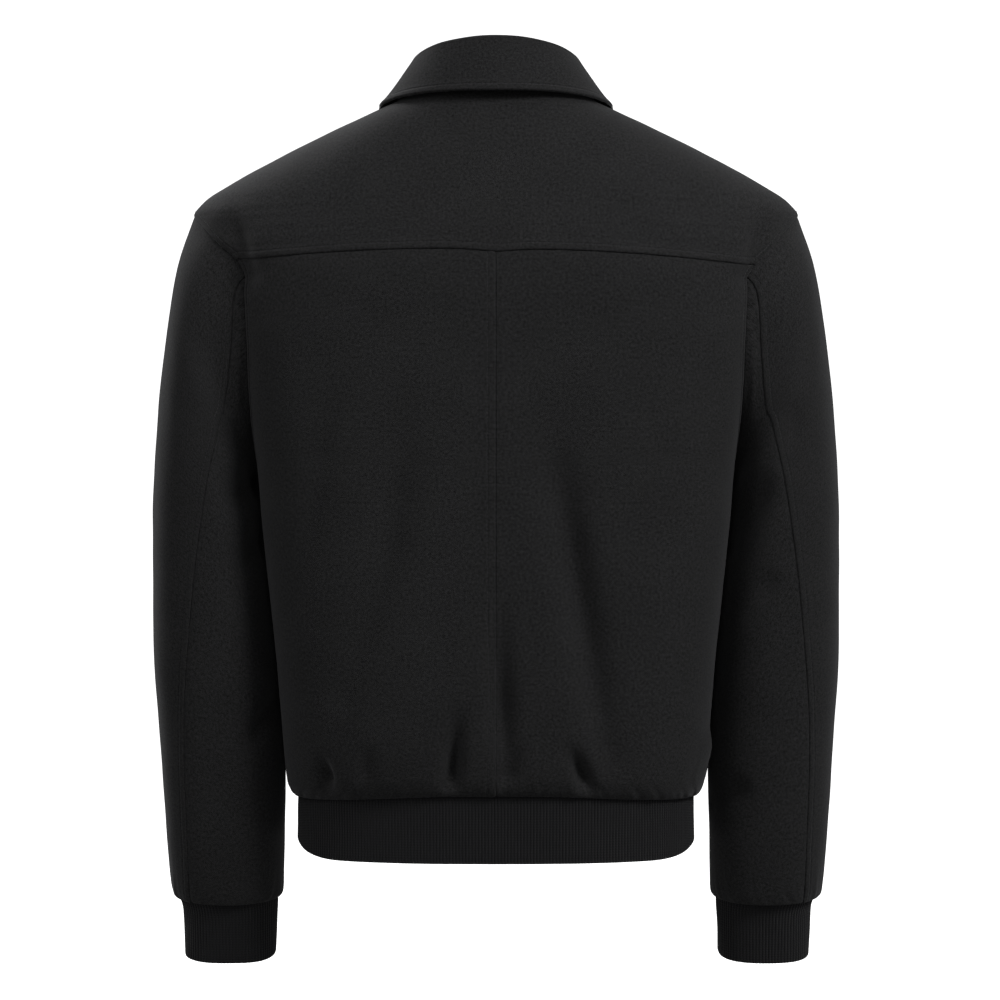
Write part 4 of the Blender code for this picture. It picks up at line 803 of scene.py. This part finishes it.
def mesh_of(name, points, faces, uv=None, smooth_angle=55):
    mesh = bpy.data.meshes.new(name)
    mesh.from_pydata(np.asarray(points).tolist(), [], faces)
    if uv is not None:
        corner = np.zeros(len(mesh.loops), int)
        mesh.loops.foreach_get("vertex_index", corner)
        mesh.uv_layers.new(name="cloth").data.foreach_set("uv", np.asarray(uv)[corner].ravel())
    mesh.shade_smooth()
    mesh.set_sharp_from_angle(angle=math.radians(smooth_angle))
    return mesh


def put_in_scene(name, data):
    thing = bpy.data.objects.new(name, data)
    bpy.context.scene.collection.objects.link(thing)
    return thing


def grid_faces(rows, cols, ring=False):
    """The four corners of each face of a grid of points, whose last column may meet its first."""
    r, c = np.meshgrid(np.arange(rows - 1), np.arange(cols if ring else cols - 1), indexing="ij")
    after = (c + 1) % cols
    corners = [r * cols + c, r * cols + after, (r + 1) * cols + after, (r + 1) * cols + c]
    return np.stack(corners, axis=-1).reshape(-1, 4)


def every_second(count):
    """Which of a row of points the inner skin keeps: both ends, and every second one between."""
    keep = list(range(0, count, 2))
    keep[-1] = count - 1
    return keep


def wall(name, outer, inner, uv, ring=False):
    """A closed wall between two grids of points; the inner skin keeps every second row and column."""
    rows, cols = outer.shape[:2]
    keep_r = every_second(rows)
    keep_c = list(range(0, cols, 2)) if ring else every_second(cols)
    base, wide = rows * cols, len(keep_c)
    faces = grid_faces(rows, cols, ring).tolist()
    faces += (base + grid_faces(len(keep_r), wide, ring)[:, [0, 3, 2, 1]]).tolist()
    stops = keep_c + [cols] if ring else keep_c
    for i, (start, end) in enumerate(zip(stops[:-1], stops[1:])):
        edge = [k % cols for k in range(start, end + 1)]
        low, high = base + i, base + (i + 1) % wide
        faces.append(edge[::-1] + [low, high])
        last = (len(keep_r) - 1) * wide
        faces.append([(rows - 1) * cols + k for k in edge] + [high + last, low + last])
    if not ring:
        for i, (start, end) in enumerate(zip(keep_r[:-1], keep_r[1:])):
            low, high = base + i * wide, base + (i + 1) * wide
            faces.append([k * cols for k in range(start, end + 1)] + [high, low])
            edge = [k * cols + cols - 1 for k in range(end, start - 1, -1)]
            faces.append(edge + [low + wide - 1, high + wide - 1])
    kept = inner[np.ix_(keep_r, keep_c)]
    points = np.concatenate([outer.reshape(-1, 3), kept.reshape(-1, 3)])
    places = np.concatenate([uv.reshape(-1, 2), uv[np.ix_(keep_r, keep_c)].reshape(-1, 2)])
    mesh = mesh_of(name, points, faces, places)
    turned = np.cross(outer[1, 0] - outer[0, 0], outer[0, 1] - outer[0, 0])
    if turned @ (outer[0, 0] - inner[0, 0]) > 0:
        mesh.flip_normals()
    return mesh


def cloth_piece(node, mesh, material):
    """A cloth piece in place of its solid."""
    piece = put_in_scene(mesh.name, mesh)
    mesh.materials.append(material)
    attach(piece, "jacket")
    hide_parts(node)


def edge_of(side, kind, **more):
    """An edge of a panel: the side of its grid, how it is finished, and more about it."""
    return {"side": side, "kind": kind, **more}


def panel(node, points, centre, edges, material, thick=CLOTH, start=None):
    """A sewn panel from a grid of points. Its cloth is measured from the column start, or its middle."""
    name = f"{node}_cloth"
    normal = facing(points, centre)
    across, along = arc(points, 1), arc(points, 0)
    middle = points.shape[1] // 2
    start = middle if start is None else start
    across = across - across[:, start : start + 1]
    along = np.repeat(along[:, middle : middle + 1], points.shape[1], axis=1)
    for edge in edges:
        edge["curve"] = edge_curve(points, edge)
    out, back = relief(points, across, along, edges, SEEDS[node])
    outer = points + normal * out[..., None]
    inner = points - normal * (thick - back)[..., None]
    uv = np.stack([across, along], axis=-1)
    cloth_piece(node, wall(name, outer, inner, uv), material)
    SHELLS[name] = {"outer": outer, "normal": normal, "edges": edges}


def edge_curve(points, edge):
    """The line of a panel's edge: one side of its grid, or a part of it."""
    line = {
        "first_row": points[0],
        "last_row": points[-1],
        "first_col": points[:, 0],
        "last_col": points[:, -1],
    }[edge["side"]]
    low, high = edge.get("part", (0, None))
    return line[low:high]


# ---------------------------------------------------------------- body panels
def side_end(up, behind):
    """The angle where a row of the back or of the front ends: side seam, armhole or shoulder seam."""
    if up <= UNDERARM:
        return 0.0
    if up >= SHOULDER:
        return float(shoulder_seam(up))
    steps = np.linspace(0, ARM_STEPS, 801)
    step = np.interp(up, column(ARMHOLE, ARMHOLE_NAMES, "up", steps), steps)
    return float(armhole_place(step, behind)[1])


def arm_ups(first, last, count):
    """Heights of the armhole's rows from one step to another."""
    return column(ARMHOLE, ARMHOLE_NAMES, "up", np.linspace(first, last, count))


def body_grid(ups, shares, start_angle, behind, side):
    """Points of the body on rows at the given heights, from an edge or seam to the side."""
    angles = [spaced_angles(up, start_angle(up), side_end(up, behind), shares) for up in ups]
    angles = np.array(angles)
    if side == "right":
        angles = math.pi - angles
    return body(np.repeat(ups[:, None], len(shares), axis=1), angles)


def back_panel(side, material):
    ups = np.concatenate([
        runs((0, 0.012, 14), (0.012, 0.100, 48), (0.100, 0.270, 60), (0.270, UNDERARM, 6))[:-1],
        arm_ups(0, 4, 34)[:-1],
        arm_ups(4, 5, 14)[:-1],
        arm_ups(5, 6, 14),
    ])
    shares = runs((0, 0.042, 26), (0.042, 0.965, 98), (0.965, 1, 16))
    points = body_grid(ups, shares, lambda up: math.pi / 2, True, side)
    low = int(np.searchsorted(ups, UNDERARM))
    raised = edge_of("first_col", "welt", **WELTS["back"])
    edges = [
        edge_of("first_row", "seam", **PUCKERS["back"]),
        edge_of("last_row", "tuck"),
        raised if side == "left" else edge_of("first_col", "tuck"),
        edge_of("last_col", "seam", part=(0, low + 1)),
        edge_of("last_col", "welt", part=(low, None), **WELTS["sleeve"]),
    ]
    panel(f"back_{side}", points, BODY_MIDDLE, edges, material, start=0)


def yoke_panel(material):
    ups = np.concatenate([
        arm_ups(6, 7, 26)[:-1],
        arm_ups(7, 10, 26)[:-1],
        runs((SHOULDER, 0.700, 60), (0.700, NECK, 12)),
    ])
    half = runs((0, 0.950, 100), (0.950, 1, 20))
    sides = [body_grid(ups, half, lambda up: math.pi / 2, True, side) for side in ("right", "left")]
    points = np.concatenate([sides[0][:, ::-1], sides[1][:, 1:]], axis=1)
    top = int(np.searchsorted(ups, SHOULDER))
    lower = edge_of("first_row", "welt", **WELTS["yoke"], **PUCKERS["yoke"])
    edges = [lower, edge_of("last_row", "seam")]
    for side in ("first_col", "last_col"):
        edges.append(edge_of(side, "welt", part=(0, top + 1), **WELTS["sleeve"]))
        edges.append(edge_of(side, "seam", part=(top, None)))
    panel("yoke", points, BODY_MIDDLE, edges, material)


def front_panel(side, material):
    ups = np.concatenate([
        runs((0, 0.012, 10), (0.012, 0.100, 28), (0.100, 0.270, 38), (0.270, UNDERARM, 4))[:-1],
        arm_ups(0, 10, 68)[:-1],
        runs((SHOULDER, 0.700, 48), (0.700, NECK, 12)),
    ])
    shares = runs((0, 0.050, 24), (0.050, 0.960, 62), (0.960, 1, 14))
    points = body_grid(ups, shares, front_edge, False, side)
    low, top = int(np.searchsorted(ups, UNDERARM)), int(np.searchsorted(ups, SHOULDER))
    edges = [
        edge_of("first_row", "seam", **PUCKERS["front"]),
        edge_of("last_row", "seam"),
        edge_of("first_col", "fold", **WELTS["front"]),
        edge_of("last_col", "seam", part=(0, low + 1)),
        edge_of("last_col", "welt", part=(low, top + 1), **WELTS["sleeve"]),
        edge_of("last_col", "seam", part=(top, None)),
    ]
    panel(f"front_{side}", points, BODY_MIDDLE, edges, material, start=0)


# ---------------------------------------------------------------- sleeves
def sleeve_axis(downs, side):
    """The middle of the sleeve at each row."""
    value = columns(SLEEVE_SECTIONS, SLEEVE_NAMES, downs)
    x = (value["x_out"] + value["x_in"]) / 2
    z = (value["z_out"] + value["z_in"]) / 2
    middle = np.stack([-x if side == "right" else x, value["centre_y"], z], axis=-1)
    return middle[:, None]


def sleeve_panels(side, material):
    downs = runs((0, 0.018, 14), (0.018, 0.94, 172), (0.94, 1, 22))
    spans = {
        "upper_sleeve": (BACK_SEAM_STEP, FRONT_SEAM_STEP),
        "under_sleeve": (FRONT_SEAM_STEP, 2 * ARM_STEPS + BACK_SEAM_STEP),
    }
    for part, (first, last) in spans.items():
        steps = runs((first, first + 0.55, 18), (first + 0.55, last - 0.55, 76), (last - 0.55, last, 18))
        down, step = np.meshgrid(downs, steps, indexing="ij")
        points = sleeve(down, np.where(step > 2 * ARM_STEPS, step - 2 * ARM_STEPS, step), side)
        seam = {"kind": "tuck"}
        if part == "upper_sleeve":
            seam = {"kind": "welt", **WELTS["sleeve"]}
        edges = [edge_of("first_row", "tuck"), edge_of("last_row", "seam", **PUCKERS["sleeve"])]
        edges += [edge_of("first_col", **seam), edge_of("last_col", **seam)]
        panel(f"{part}_{side}", points, sleeve_axis(downs, side), edges, material)


# ---------------------------------------------------------------- rib knit
def rib_profile(count):
    """The height of each column of a rib knit: rounded ridges with narrow valleys between them."""
    phase = np.arange(count) / RIB_SAMPLES * 2 * math.pi
    return RIB_DEPTH * (np.abs(np.cos(phase / 2)) ** 0.7 - 0.72)


def hem_point(down, angle):
    """A point of the hem rib's plain band. The angle is read as on the body."""
    value = columns(HEM_SECTIONS, HEM_NAMES, down)
    c, q = np.cos(angle), np.sin(angle)
    depth = np.where(q > 0, value["back"], value["front"])
    n = BODY_SECTIONS[0][BODY_NAMES.index("blunt_x")]
    radius = (np.abs(c / value["half_width"]) ** n + np.abs(q / depth) ** n) ** (-1 / n)
    share = np.abs(radius * q / depth)
    z_end = np.where(q > 0, value["z_back"], value["z_front"])
    z = value["z_side"] + (z_end - value["z_side"]) * ease(share / 0.75)
    return np.stack(np.broadcast_arrays(radius * c, radius * q, z), axis=-1)


def cuff_point(down, turn):
    """A point of the left cuff's plain band. The turn is read as on the sleeve."""
    value = columns(CUFF_SECTIONS, CUFF_NAMES, down)
    c, q = np.cos(turn), np.sin(turn)
    radius = (np.abs(c) ** value["blunt"] + np.abs(q) ** value["blunt"]) ** (-1 / value["blunt"])
    away = value["half_depth"] * radius * q
    x = value["x_middle"] + value["half_width"] * radius * c
    z = value["z_middle"] - value["pitch"] * away
    return np.stack(np.broadcast_arrays(x, value["centre_y"] + away, z), axis=-1)


def rib_wall(node, points, centre, material, ring, pitch):
    """A band of rib knit, folded at its lower edge and sewn on at its first row."""
    normal = facing(points, centre, ring)
    down, round_it = arc(points, 0), arc(points, 1)
    length = down[-1:]
    profile = rib_profile(points.shape[1])[None, :]
    held = RIB_HELD + (1 - RIB_HELD) * ease(down / RIB_FREE)
    turned = 1 - ease(((length - down) / 0.0022))
    sway = RIB_SWAY * unevenness(round_it, down, SEEDS[node])
    out = profile * held * (1 - 0.6 * turned) + sway
    out = out + edge_roll(down, 0.0010, 0.0006) + edge_roll(length - down, 0.0012, 0.0012)
    back = sway + 0.5 * profile - edge_roll(length - down, 0.0012, 0.0009)
    outer = points + normal * out[..., None]
    inner = points - normal * (RIB_CLOTH - RIB_RELIEF - back)[..., None]
    ribs = np.broadcast_to(np.arange(points.shape[1]) / RIB_SAMPLES * pitch, down.shape)
    mesh = wall(f"{node}_knit", outer, inner, np.stack([ribs, down], axis=-1), ring)
    cloth_piece(node, mesh, material)


def hem_rib(material):
    edge = FRONT_GAP / HEM_SECTIONS[0][HEM_NAMES.index("front")]
    fine = np.linspace(-math.pi / 2 + edge, 1.5 * math.pi - edge, 2001)
    length = arc(hem_point(np.zeros(fine.shape), fine), 0)
    ribs = 3 * round(length[-1] / RIB_PITCH / 3)
    angles = np.interp(np.linspace(0, length[-1], RIB_SAMPLES * ribs + 1), length, fine)
    downs = runs((0, 0.03, 3), (0.03, 0.95, 12), (0.95, 1, 6))
    down, angle = np.meshgrid(downs, angles, indexing="ij")
    points = hem_point(down, angle)
    rib_wall("hem_rib", points, Vector((0, 0, -0.62)), material, False, RIB_PITCH)


def cuff_rib(side, material):
    turns = np.linspace(0, 2 * math.pi, RIB_SAMPLES * CUFF_RIBS, endpoint=False)
    downs = runs((0, 0.03, 3), (0.03, 0.95, 20), (0.95, 1, 6))
    down, turn = np.meshgrid(downs, turns, indexing="ij")
    points = cuff_point(down, turn)
    points[..., 0] += SWAY[side]
    points = mirrored(points, side)
    rib_wall(f"cuff_{side}", points, points.mean(axis=(0, 1)), material, True, CUFF_PITCH)


# ---------------------------------------------------------------- topstitching
def stitch_line(shell, edge):
    """Points and normals along the topstitching beside an edge, on the cloth's outer skin."""
    flat = shell["outer"].reshape(-1, 3)
    surface = BVHTree.FromPolygons(flat.tolist(), grid_faces(*shell["outer"].shape[:2]).tolist())
    curve = filled_in(edge["curve"], 0.001)
    tangent = unit(np.gradient(curve, axis=0))
    tree = search_tree(flat)
    normal = shell["normal"].reshape(-1, 3)[[tree.find(p)[1] for p in curve]]
    into = unit(np.cross(normal, tangent))
    best = None
    for sign in (1, -1):
        hits = [surface.find_nearest(p) for p in curve + into * sign * edge["width"]]
        off = sum(hit[3] for hit in hits)
        if best is None or off < best[0]:
            best = off, np.array([hit[0] for hit in hits])
    return best[1], normal


def closed_ends(rows, cols):
    """The faces of a tube of points, with one more over each end."""
    last = (rows - 1) * cols
    ends = [list(range(cols - 1, -1, -1)), list(range(last, last + cols))]
    return grid_faces(rows, cols, True).tolist() + ends


def stitch_shape():
    """One stitch, lying along x with z out of the cloth: points as shares of its length and radius."""
    points = []
    for along, wide, high in STITCH_RINGS:
        for k in range(5):
            turn = 2 * math.pi * k / 5
            points.append((along, wide * math.cos(turn), high + wide * 0.8 * math.sin(turn)))
    return np.array(points), closed_ends(len(STITCH_RINGS), 5)


def topstitching(name, shells, material):
    """Every stitch on a few panels, as one piece of short threads."""
    shape, shape_faces = stitch_shape()
    size = np.array([STITCH["length"], STITCH["radius"], STITCH["radius"]])
    points, faces = [], []
    for shell in shells:
        for edge in shell["edges"]:
            if "width" not in edge:
                continue
            line, normal = stitch_line(shell, edge)
            length = arc(line, 0)
            count = int(length[-1] / STITCH["pitch"])
            at = (np.arange(count) + 0.5) * STITCH["pitch"]
            middle = read_line(at, length, line)
            out = unit(read_line(at, length, normal))
            ahead, behind = [read_line(at + off, length, line) for off in (STITCH_AIM, -STITCH_AIM)]
            along = unit(ahead - behind)
            side = unit(np.cross(out, along))
            out = np.cross(along, side)
            local = shape * size
            for m, a, s, o in zip(middle, along, side, out):
                base = len(points) * len(shape)
                points.append(m + local[:, :1] * a + local[:, 1:2] * s + local[:, 2:] * o)
                faces.extend([[base + k for k in face] for face in shape_faces])
    mesh = mesh_of(name, np.concatenate(points), faces)
    trim_piece(name, mesh, material, "wool")


def trim_piece(name, mesh, material, slot, *nodes):
    """A piece that isn't cloth, in place of the given nodes if there are any."""
    piece = put_in_scene(name, mesh)
    mesh.materials.append(material)
    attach(piece, "jacket")
    if nodes:
        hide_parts(*nodes)


# ---------------------------------------------------------------- zip
def front_line(ups, x):
    """Points of the fronts at the given heights, x to the left of the centre, and their normals."""
    angle = -math.pi / 2 + x / body_size("front", ups)
    return body(ups, angle), body_normal(ups, angle)


def zip_course(x, rows):
    """A line up the front, x to the left of its centre, from the foot of the hem to the neck."""
    cloth, cloth_out = front_line(np.linspace(*ZIP_UPS, rows), x)
    steps = np.linspace(0.995, 0, ZIP_STEPS_IN_HEM)
    hem = hem_point(steps, np.full(steps.shape, -math.pi / 2 + x / HEM_SECTIONS[0][-1]))
    hem[-1, 2] += 0.0015
    hem_out = np.tile(np.array([0.0, -1.0, 0.0]), (len(steps), 1))
    return np.concatenate([hem, cloth]), np.concatenate([hem_out, cloth_out])


def zip_tape(side, material):
    sign = 1 if side == "left" else -1
    edges = np.linspace(TAPE_INNER, TAPE_OUTER, 9) * sign
    courses = [zip_course(x, 200) for x in edges]
    points = np.stack([p for p, _ in courses], axis=1)
    out = np.stack([o for _, o in courses], axis=1)
    thick = np.array([0.0003, 0.0002, 0, 0, 0, 0, 0, 0, -0.0002])
    outer = points - out * (CLOTH + SEAM_GAP - thick[None, :, None])
    inner = points - out * (CLOTH + SEAM_GAP + TAPE_CLOTH + thick[None, :, None])
    uv = np.stack([arc(points, 1), arc(points, 0)], axis=-1)
    mesh = wall(f"zip_tape_{side}_woven", outer, inner, uv)
    cloth_piece(f"zip_tape_{side}", mesh, material)


def tooth_shape():
    """One tooth: a rounded block that reaches from the tape past the centre line."""
    half_x, half_y = TEETH_HALF_WIDTH * 0.6, TEETH_THICKNESS / 2
    half_z, cut = TOOTH["half_height"], TOOTH["corner"]
    slope = cut * 0.8
    points = []
    for z, shrink in ((-half_z, slope), (-half_z + slope, 0), (half_z - slope, 0), (half_z, slope)):
        x, y = half_x - shrink, half_y - shrink
        right, left = [(x, y - cut), (x - cut, y)], [(cut - x, y), (-x, y - cut)]
        far = right + left
        points += [(px, py, z) for px, py in far + [(-px, -py) for px, py in far]]
    return np.array(points), closed_ends(4, 8)


def zip_teeth(material):
    line, out = zip_course(0.0, 400)
    length = arc(line, 0)
    count = int(length[-1] / TOOTH_PITCH)
    at = (np.arange(count) + 0.5) * TOOTH_PITCH
    middle = read_line(at, length, line)
    normal = unit(read_line(at, length, out))
    up = unit(np.gradient(middle, axis=0))
    across = np.cross(up, normal)
    shape, shape_faces = tooth_shape()
    points, faces = [], []
    for i in range(count):
        shift = TEETH_HALF_WIDTH * (0.38 if i % 2 else -0.38)
        centre = middle[i] - normal[i] * (TEETH_THICKNESS / 2 - TEETH_PROUD) - across[i] * shift
        points.append(centre + shape[:, :1] * across[i] + shape[:, 1:2] * normal[i] + shape[:, 2:] * up[i])
        faces.extend([[i * len(shape) + k for k in face] for face in shape_faces])
    mesh = mesh_of("zip_teeth_rows", np.concatenate(points), faces, smooth_angle=30)
    trim_piece(mesh.name, mesh, material, "dark_metal", "zip_teeth")


# ---------------------------------------------------------------- materials
def set_inputs(tree, node, inputs):
    """Give a node its inputs, each of which is a value or another node's output."""
    for place, value in inputs.items():
        if isinstance(value, bpy.types.NodeSocket):
            tree.links.new(value, node.inputs[place])
        else:
            node.inputs[place].default_value = value


def add_node(tree, kind, inputs, **settings):
    node = tree.nodes.new("ShaderNode" + kind)
    for name, value in settings.items():
        setattr(node, name, value)
    set_inputs(tree, node, inputs)
    return node


def noise(tree, **inputs):
    return add_node(tree, "TexNoise", inputs).outputs["Fac"]


def calculation(tree, operation, *terms):
    return add_node(tree, "Math", dict(enumerate(terms)), operation=operation).outputs[0]


def ramp(tree, share, *stops):
    """A colour between two stops, each given as its position and its colour."""
    node = add_node(tree, "ValToRGB", {"Fac": share})
    for element, (position, colour) in zip(node.color_ramp.elements, stops):
        element.position = position
        element.color = (*colour, 1)
    return node.outputs["Color"]


def bumps(tree, height, strength, distance):
    inputs = {"Height": height, "Strength": strength, "Distance": distance}
    return add_node(tree, "Bump", inputs).outputs["Normal"]


def new_material(name):
    """A new material, its tree, and its shader."""
    material = bpy.data.materials.new(name)
    material.use_nodes = True
    return material, material.node_tree, material.node_tree.nodes["Principled BSDF"]


def cloth_material(name, dark, light):
    """Brushed wool: fine fibre clumps and darker neps over faint diagonal wales."""
    material, tree, shader = new_material(name)
    uv = add_node(tree, "UVMap", {}, uv_map="cloth").outputs["UV"]
    turned = add_node(tree, "Mapping", {"Vector": uv, "Rotation": (0, 0, WALE_ANGLE)}).outputs[0]
    wave = {"Vector": turned, "Scale": 2 * math.pi / 20 / WALE, "Distortion": 4.0, "Detail": 2.0}
    wales = add_node(tree, "TexWave", {**wave, "Detail Scale": 1.6}).outputs["Fac"]
    fibres = noise(tree, Vector=uv, Scale=FIBRES, Detail=3.0, Roughness=0.65)
    neps = noise(tree, Vector=uv, Scale=NEPS, Detail=4.0, Roughness=0.7)
    patches = noise(tree, Vector=uv, Scale=PATCHES, Detail=3.0)
    nap = calculation(tree, "MULTIPLY_ADD", wales, WOOL_SHARES["wales"], fibres)
    speck = calculation(tree, "MULTIPLY_ADD", neps, WOOL_SHARES["neps"], nap)
    tone = calculation(tree, "MULTIPLY_ADD", patches, WOOL_SHARES["patches"], speck)
    darkest, lightest = WOOL_TONES
    span = {"Value": tone, "From Min": darkest, "From Max": lightest}
    share = add_node(tree, "MapRange", span).outputs["Result"]
    set_inputs(tree, shader, {
        "Base Color": ramp(tree, share, (0, dark), (1, light)),
        "Normal": bumps(tree, nap, 0.5, 0.0003),
        "Roughness": 0.92,
        "Specular IOR Level": 0.15,
        "Sheen Weight": 0.12,
        "Sheen Roughness": 0.45,
        "Sheen Tint": (0.80, 0.80, 0.83, 1),
    })
    return material


def rib_material():
    """Fine wool rib: columns of small slanted loops along each ridge."""
    material, tree, shader = new_material("rib_knit_looks")
    uv = add_node(tree, "UVMap", {}, uv_map="cloth").outputs["UV"]
    parts = add_node(tree, "SeparateXYZ", {"Vector": uv}).outputs
    within = calculation(tree, "PINGPONG", parts["X"], RIB_PITCH / 2)
    slant = calculation(tree, "MULTIPLY_ADD", within, 0.8, parts["Y"])
    turn = calculation(tree, "MULTIPLY", slant, 2 * math.pi / KNIT_ROW)
    loops = calculation(tree, "SINE", turn)
    fibres = noise(tree, Vector=uv, Scale=RIB_FIBRES, Detail=4.0)
    height = calculation(tree, "MULTIPLY_ADD", loops, 0.25, fibres)
    set_inputs(tree, shader, {
        "Base Color": ramp(tree, height, *RIB_COLOURS),
        "Normal": bumps(tree, height, 0.5, 0.0003),
        "Roughness": 0.95,
        "Specular IOR Level": 0.2,
        "Sheen Weight": 0.12,
        "Sheen Roughness": 0.5,
    })
    return material


def plain_material(name, colour, rough, metal, grain, grain_scale, bump_height):
    """A finish whose colour and roughness vary a little, for thread, tape and metal."""
    material, tree, shader = new_material(name)
    place = add_node(tree, "TexCoord", {}).outputs["Object"]
    grains = noise(tree, Vector=place, Scale=grain_scale, Detail=4.0)
    low, high = [[c * (1 + off) for c in colour] for off in (-grain, grain)]
    span = {"Value": grains, "To Min": rough * 0.8, "To Max": min(1, rough * 1.2)}
    set_inputs(tree, shader, {
        "Base Color": ramp(tree, grains, (0.3, low), (0.7, high)),
        "Roughness": add_node(tree, "MapRange", span).outputs["Result"],
        "Normal": bumps(tree, grains, 0.4, bump_height),
        "Metallic": metal,
    })
    return material


# ---------------------------------------------------------------- the studio
def make_studio():
    """The photograph's camera, the sky and the lamps round the jacket, and the white room."""
    scene = bpy.context.scene
    data = bpy.data.cameras.new("photo_camera")
    data.lens, data.sensor_width = LENS, SENSOR
    data.clip_end = 50
    camera = put_in_scene("photo_camera", data)
    camera.location = CAMERA_PLACE
    camera.rotation_euler = (math.pi / 2, 0, math.pi)
    scene.camera = camera

    scene.view_settings.view_transform = "Standard"
    world = bpy.data.worlds.new("studio") if scene.world is None else scene.world
    scene.world = world
    world.use_nodes = True
    tree = world.node_tree
    direction = add_node(tree, "TexCoord", {}).outputs["Generated"]
    height = add_node(tree, "SeparateXYZ", {0: direction}).outputs["Z"]
    span = {"Value": height, "From Min": -1, "To Min": SKY["below"], "To Max": SKY["above"]}
    strength = add_node(tree, "MapRange", span).outputs["Result"]
    set_inputs(tree, tree.nodes["Background"], {"Color": (1, 1, 1, 1), "Strength": strength})

    for name, place, size, power in LAMPS:
        light = bpy.data.lights.new(name, "AREA")
        light.shape, light.size, light.energy = "DISK", size, power
        lamp = put_in_scene(name, light)
        lamp.location = place
        lamp.rotation_euler = (LAMP_AIM - Vector(place)).to_track_quat("-Z", "Y").to_euler()

    turns = np.linspace(0, 2 * math.pi, WALL_PARTS, endpoint=False)
    rim = np.stack([np.cos(turns), np.sin(turns), 0 * turns], axis=1) * STUDIO_RADIUS
    floor_rim, top_rim = rim + (0, 0, FLOOR_Z), rim + (0, 0, STUDIO_HEIGHT)
    walls = grid_faces(2, WALL_PARTS, True)[:, [0, 3, 2, 1]].tolist()
    stage_piece("studio_floor", floor_rim, [list(range(WALL_PARTS))])
    stage_piece("studio_walls", np.concatenate([floor_rim, top_rim]), walls)


def stage_piece(name, points, faces):
    """A piece of the white studio, which the camera sees but which throws no light on the jacket."""
    mesh = bpy.data.meshes.new(name)
    mesh.from_pydata(points.tolist(), [], faces)
    piece = put_in_scene(name, mesh)
    white = plain_material(name, (0.90, 0.90, 0.90), 0.85, 0.0, 0.02, 3.0, 0.0)
    tree = white.node_tree
    glow = {"Emission Color": (1, 1, 1, 1), "Emission Strength": 1.0}
    set_inputs(tree, tree.nodes["Principled BSDF"], glow)
    mesh.materials.append(white)
    piece.visible_diffuse = False
    piece.visible_glossy = False
    piece.visible_shadow = False


def make_jacket():
    wool = cloth_material("wool_twill", *WOOL_COLOURS)
    rib = rib_material()
    thread = plain_material("thread", (0.012, 0.012, 0.0135), 0.6, 0.0, 0.25, 900.0, 0.0001)
    tape = plain_material("woven_tape", (0.011, 0.011, 0.012), 0.8, 0.0, 0.35, 1400.0, 0.0002)
    metal = plain_material("satin_metal", (0.115, 0.115, 0.120), 0.36, 1.0, 0.12, 500.0, 0.00003)
    for side in ("left", "right"):
        back_panel(side, wool)
        front_panel(side, wool)
        sleeve_panels(side, wool)
        cuff_rib(side, rib)
        zip_tape(side, tape)
    yoke_panel(wool)
    hem_rib(rib)
    collar_stand(wool)
    collar_leaf(wool)
    zip_teeth(metal)
    body_shells = [SHELLS[name] for name in SHELLS if "sleeve" not in name]
    sleeve_shells = [SHELLS[name] for name in SHELLS if "sleeve" in name]
    topstitching("topstitching_body", body_shells, thread)
    topstitching("topstitching_sleeves", sleeve_shells, thread)
    for name in ("zip_slider", "zip_pull"):
        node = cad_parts[name]
        node.data.materials.clear()
        node.data.materials.append(metal)


SHELLS = {}
make_studio()
make_jacket()
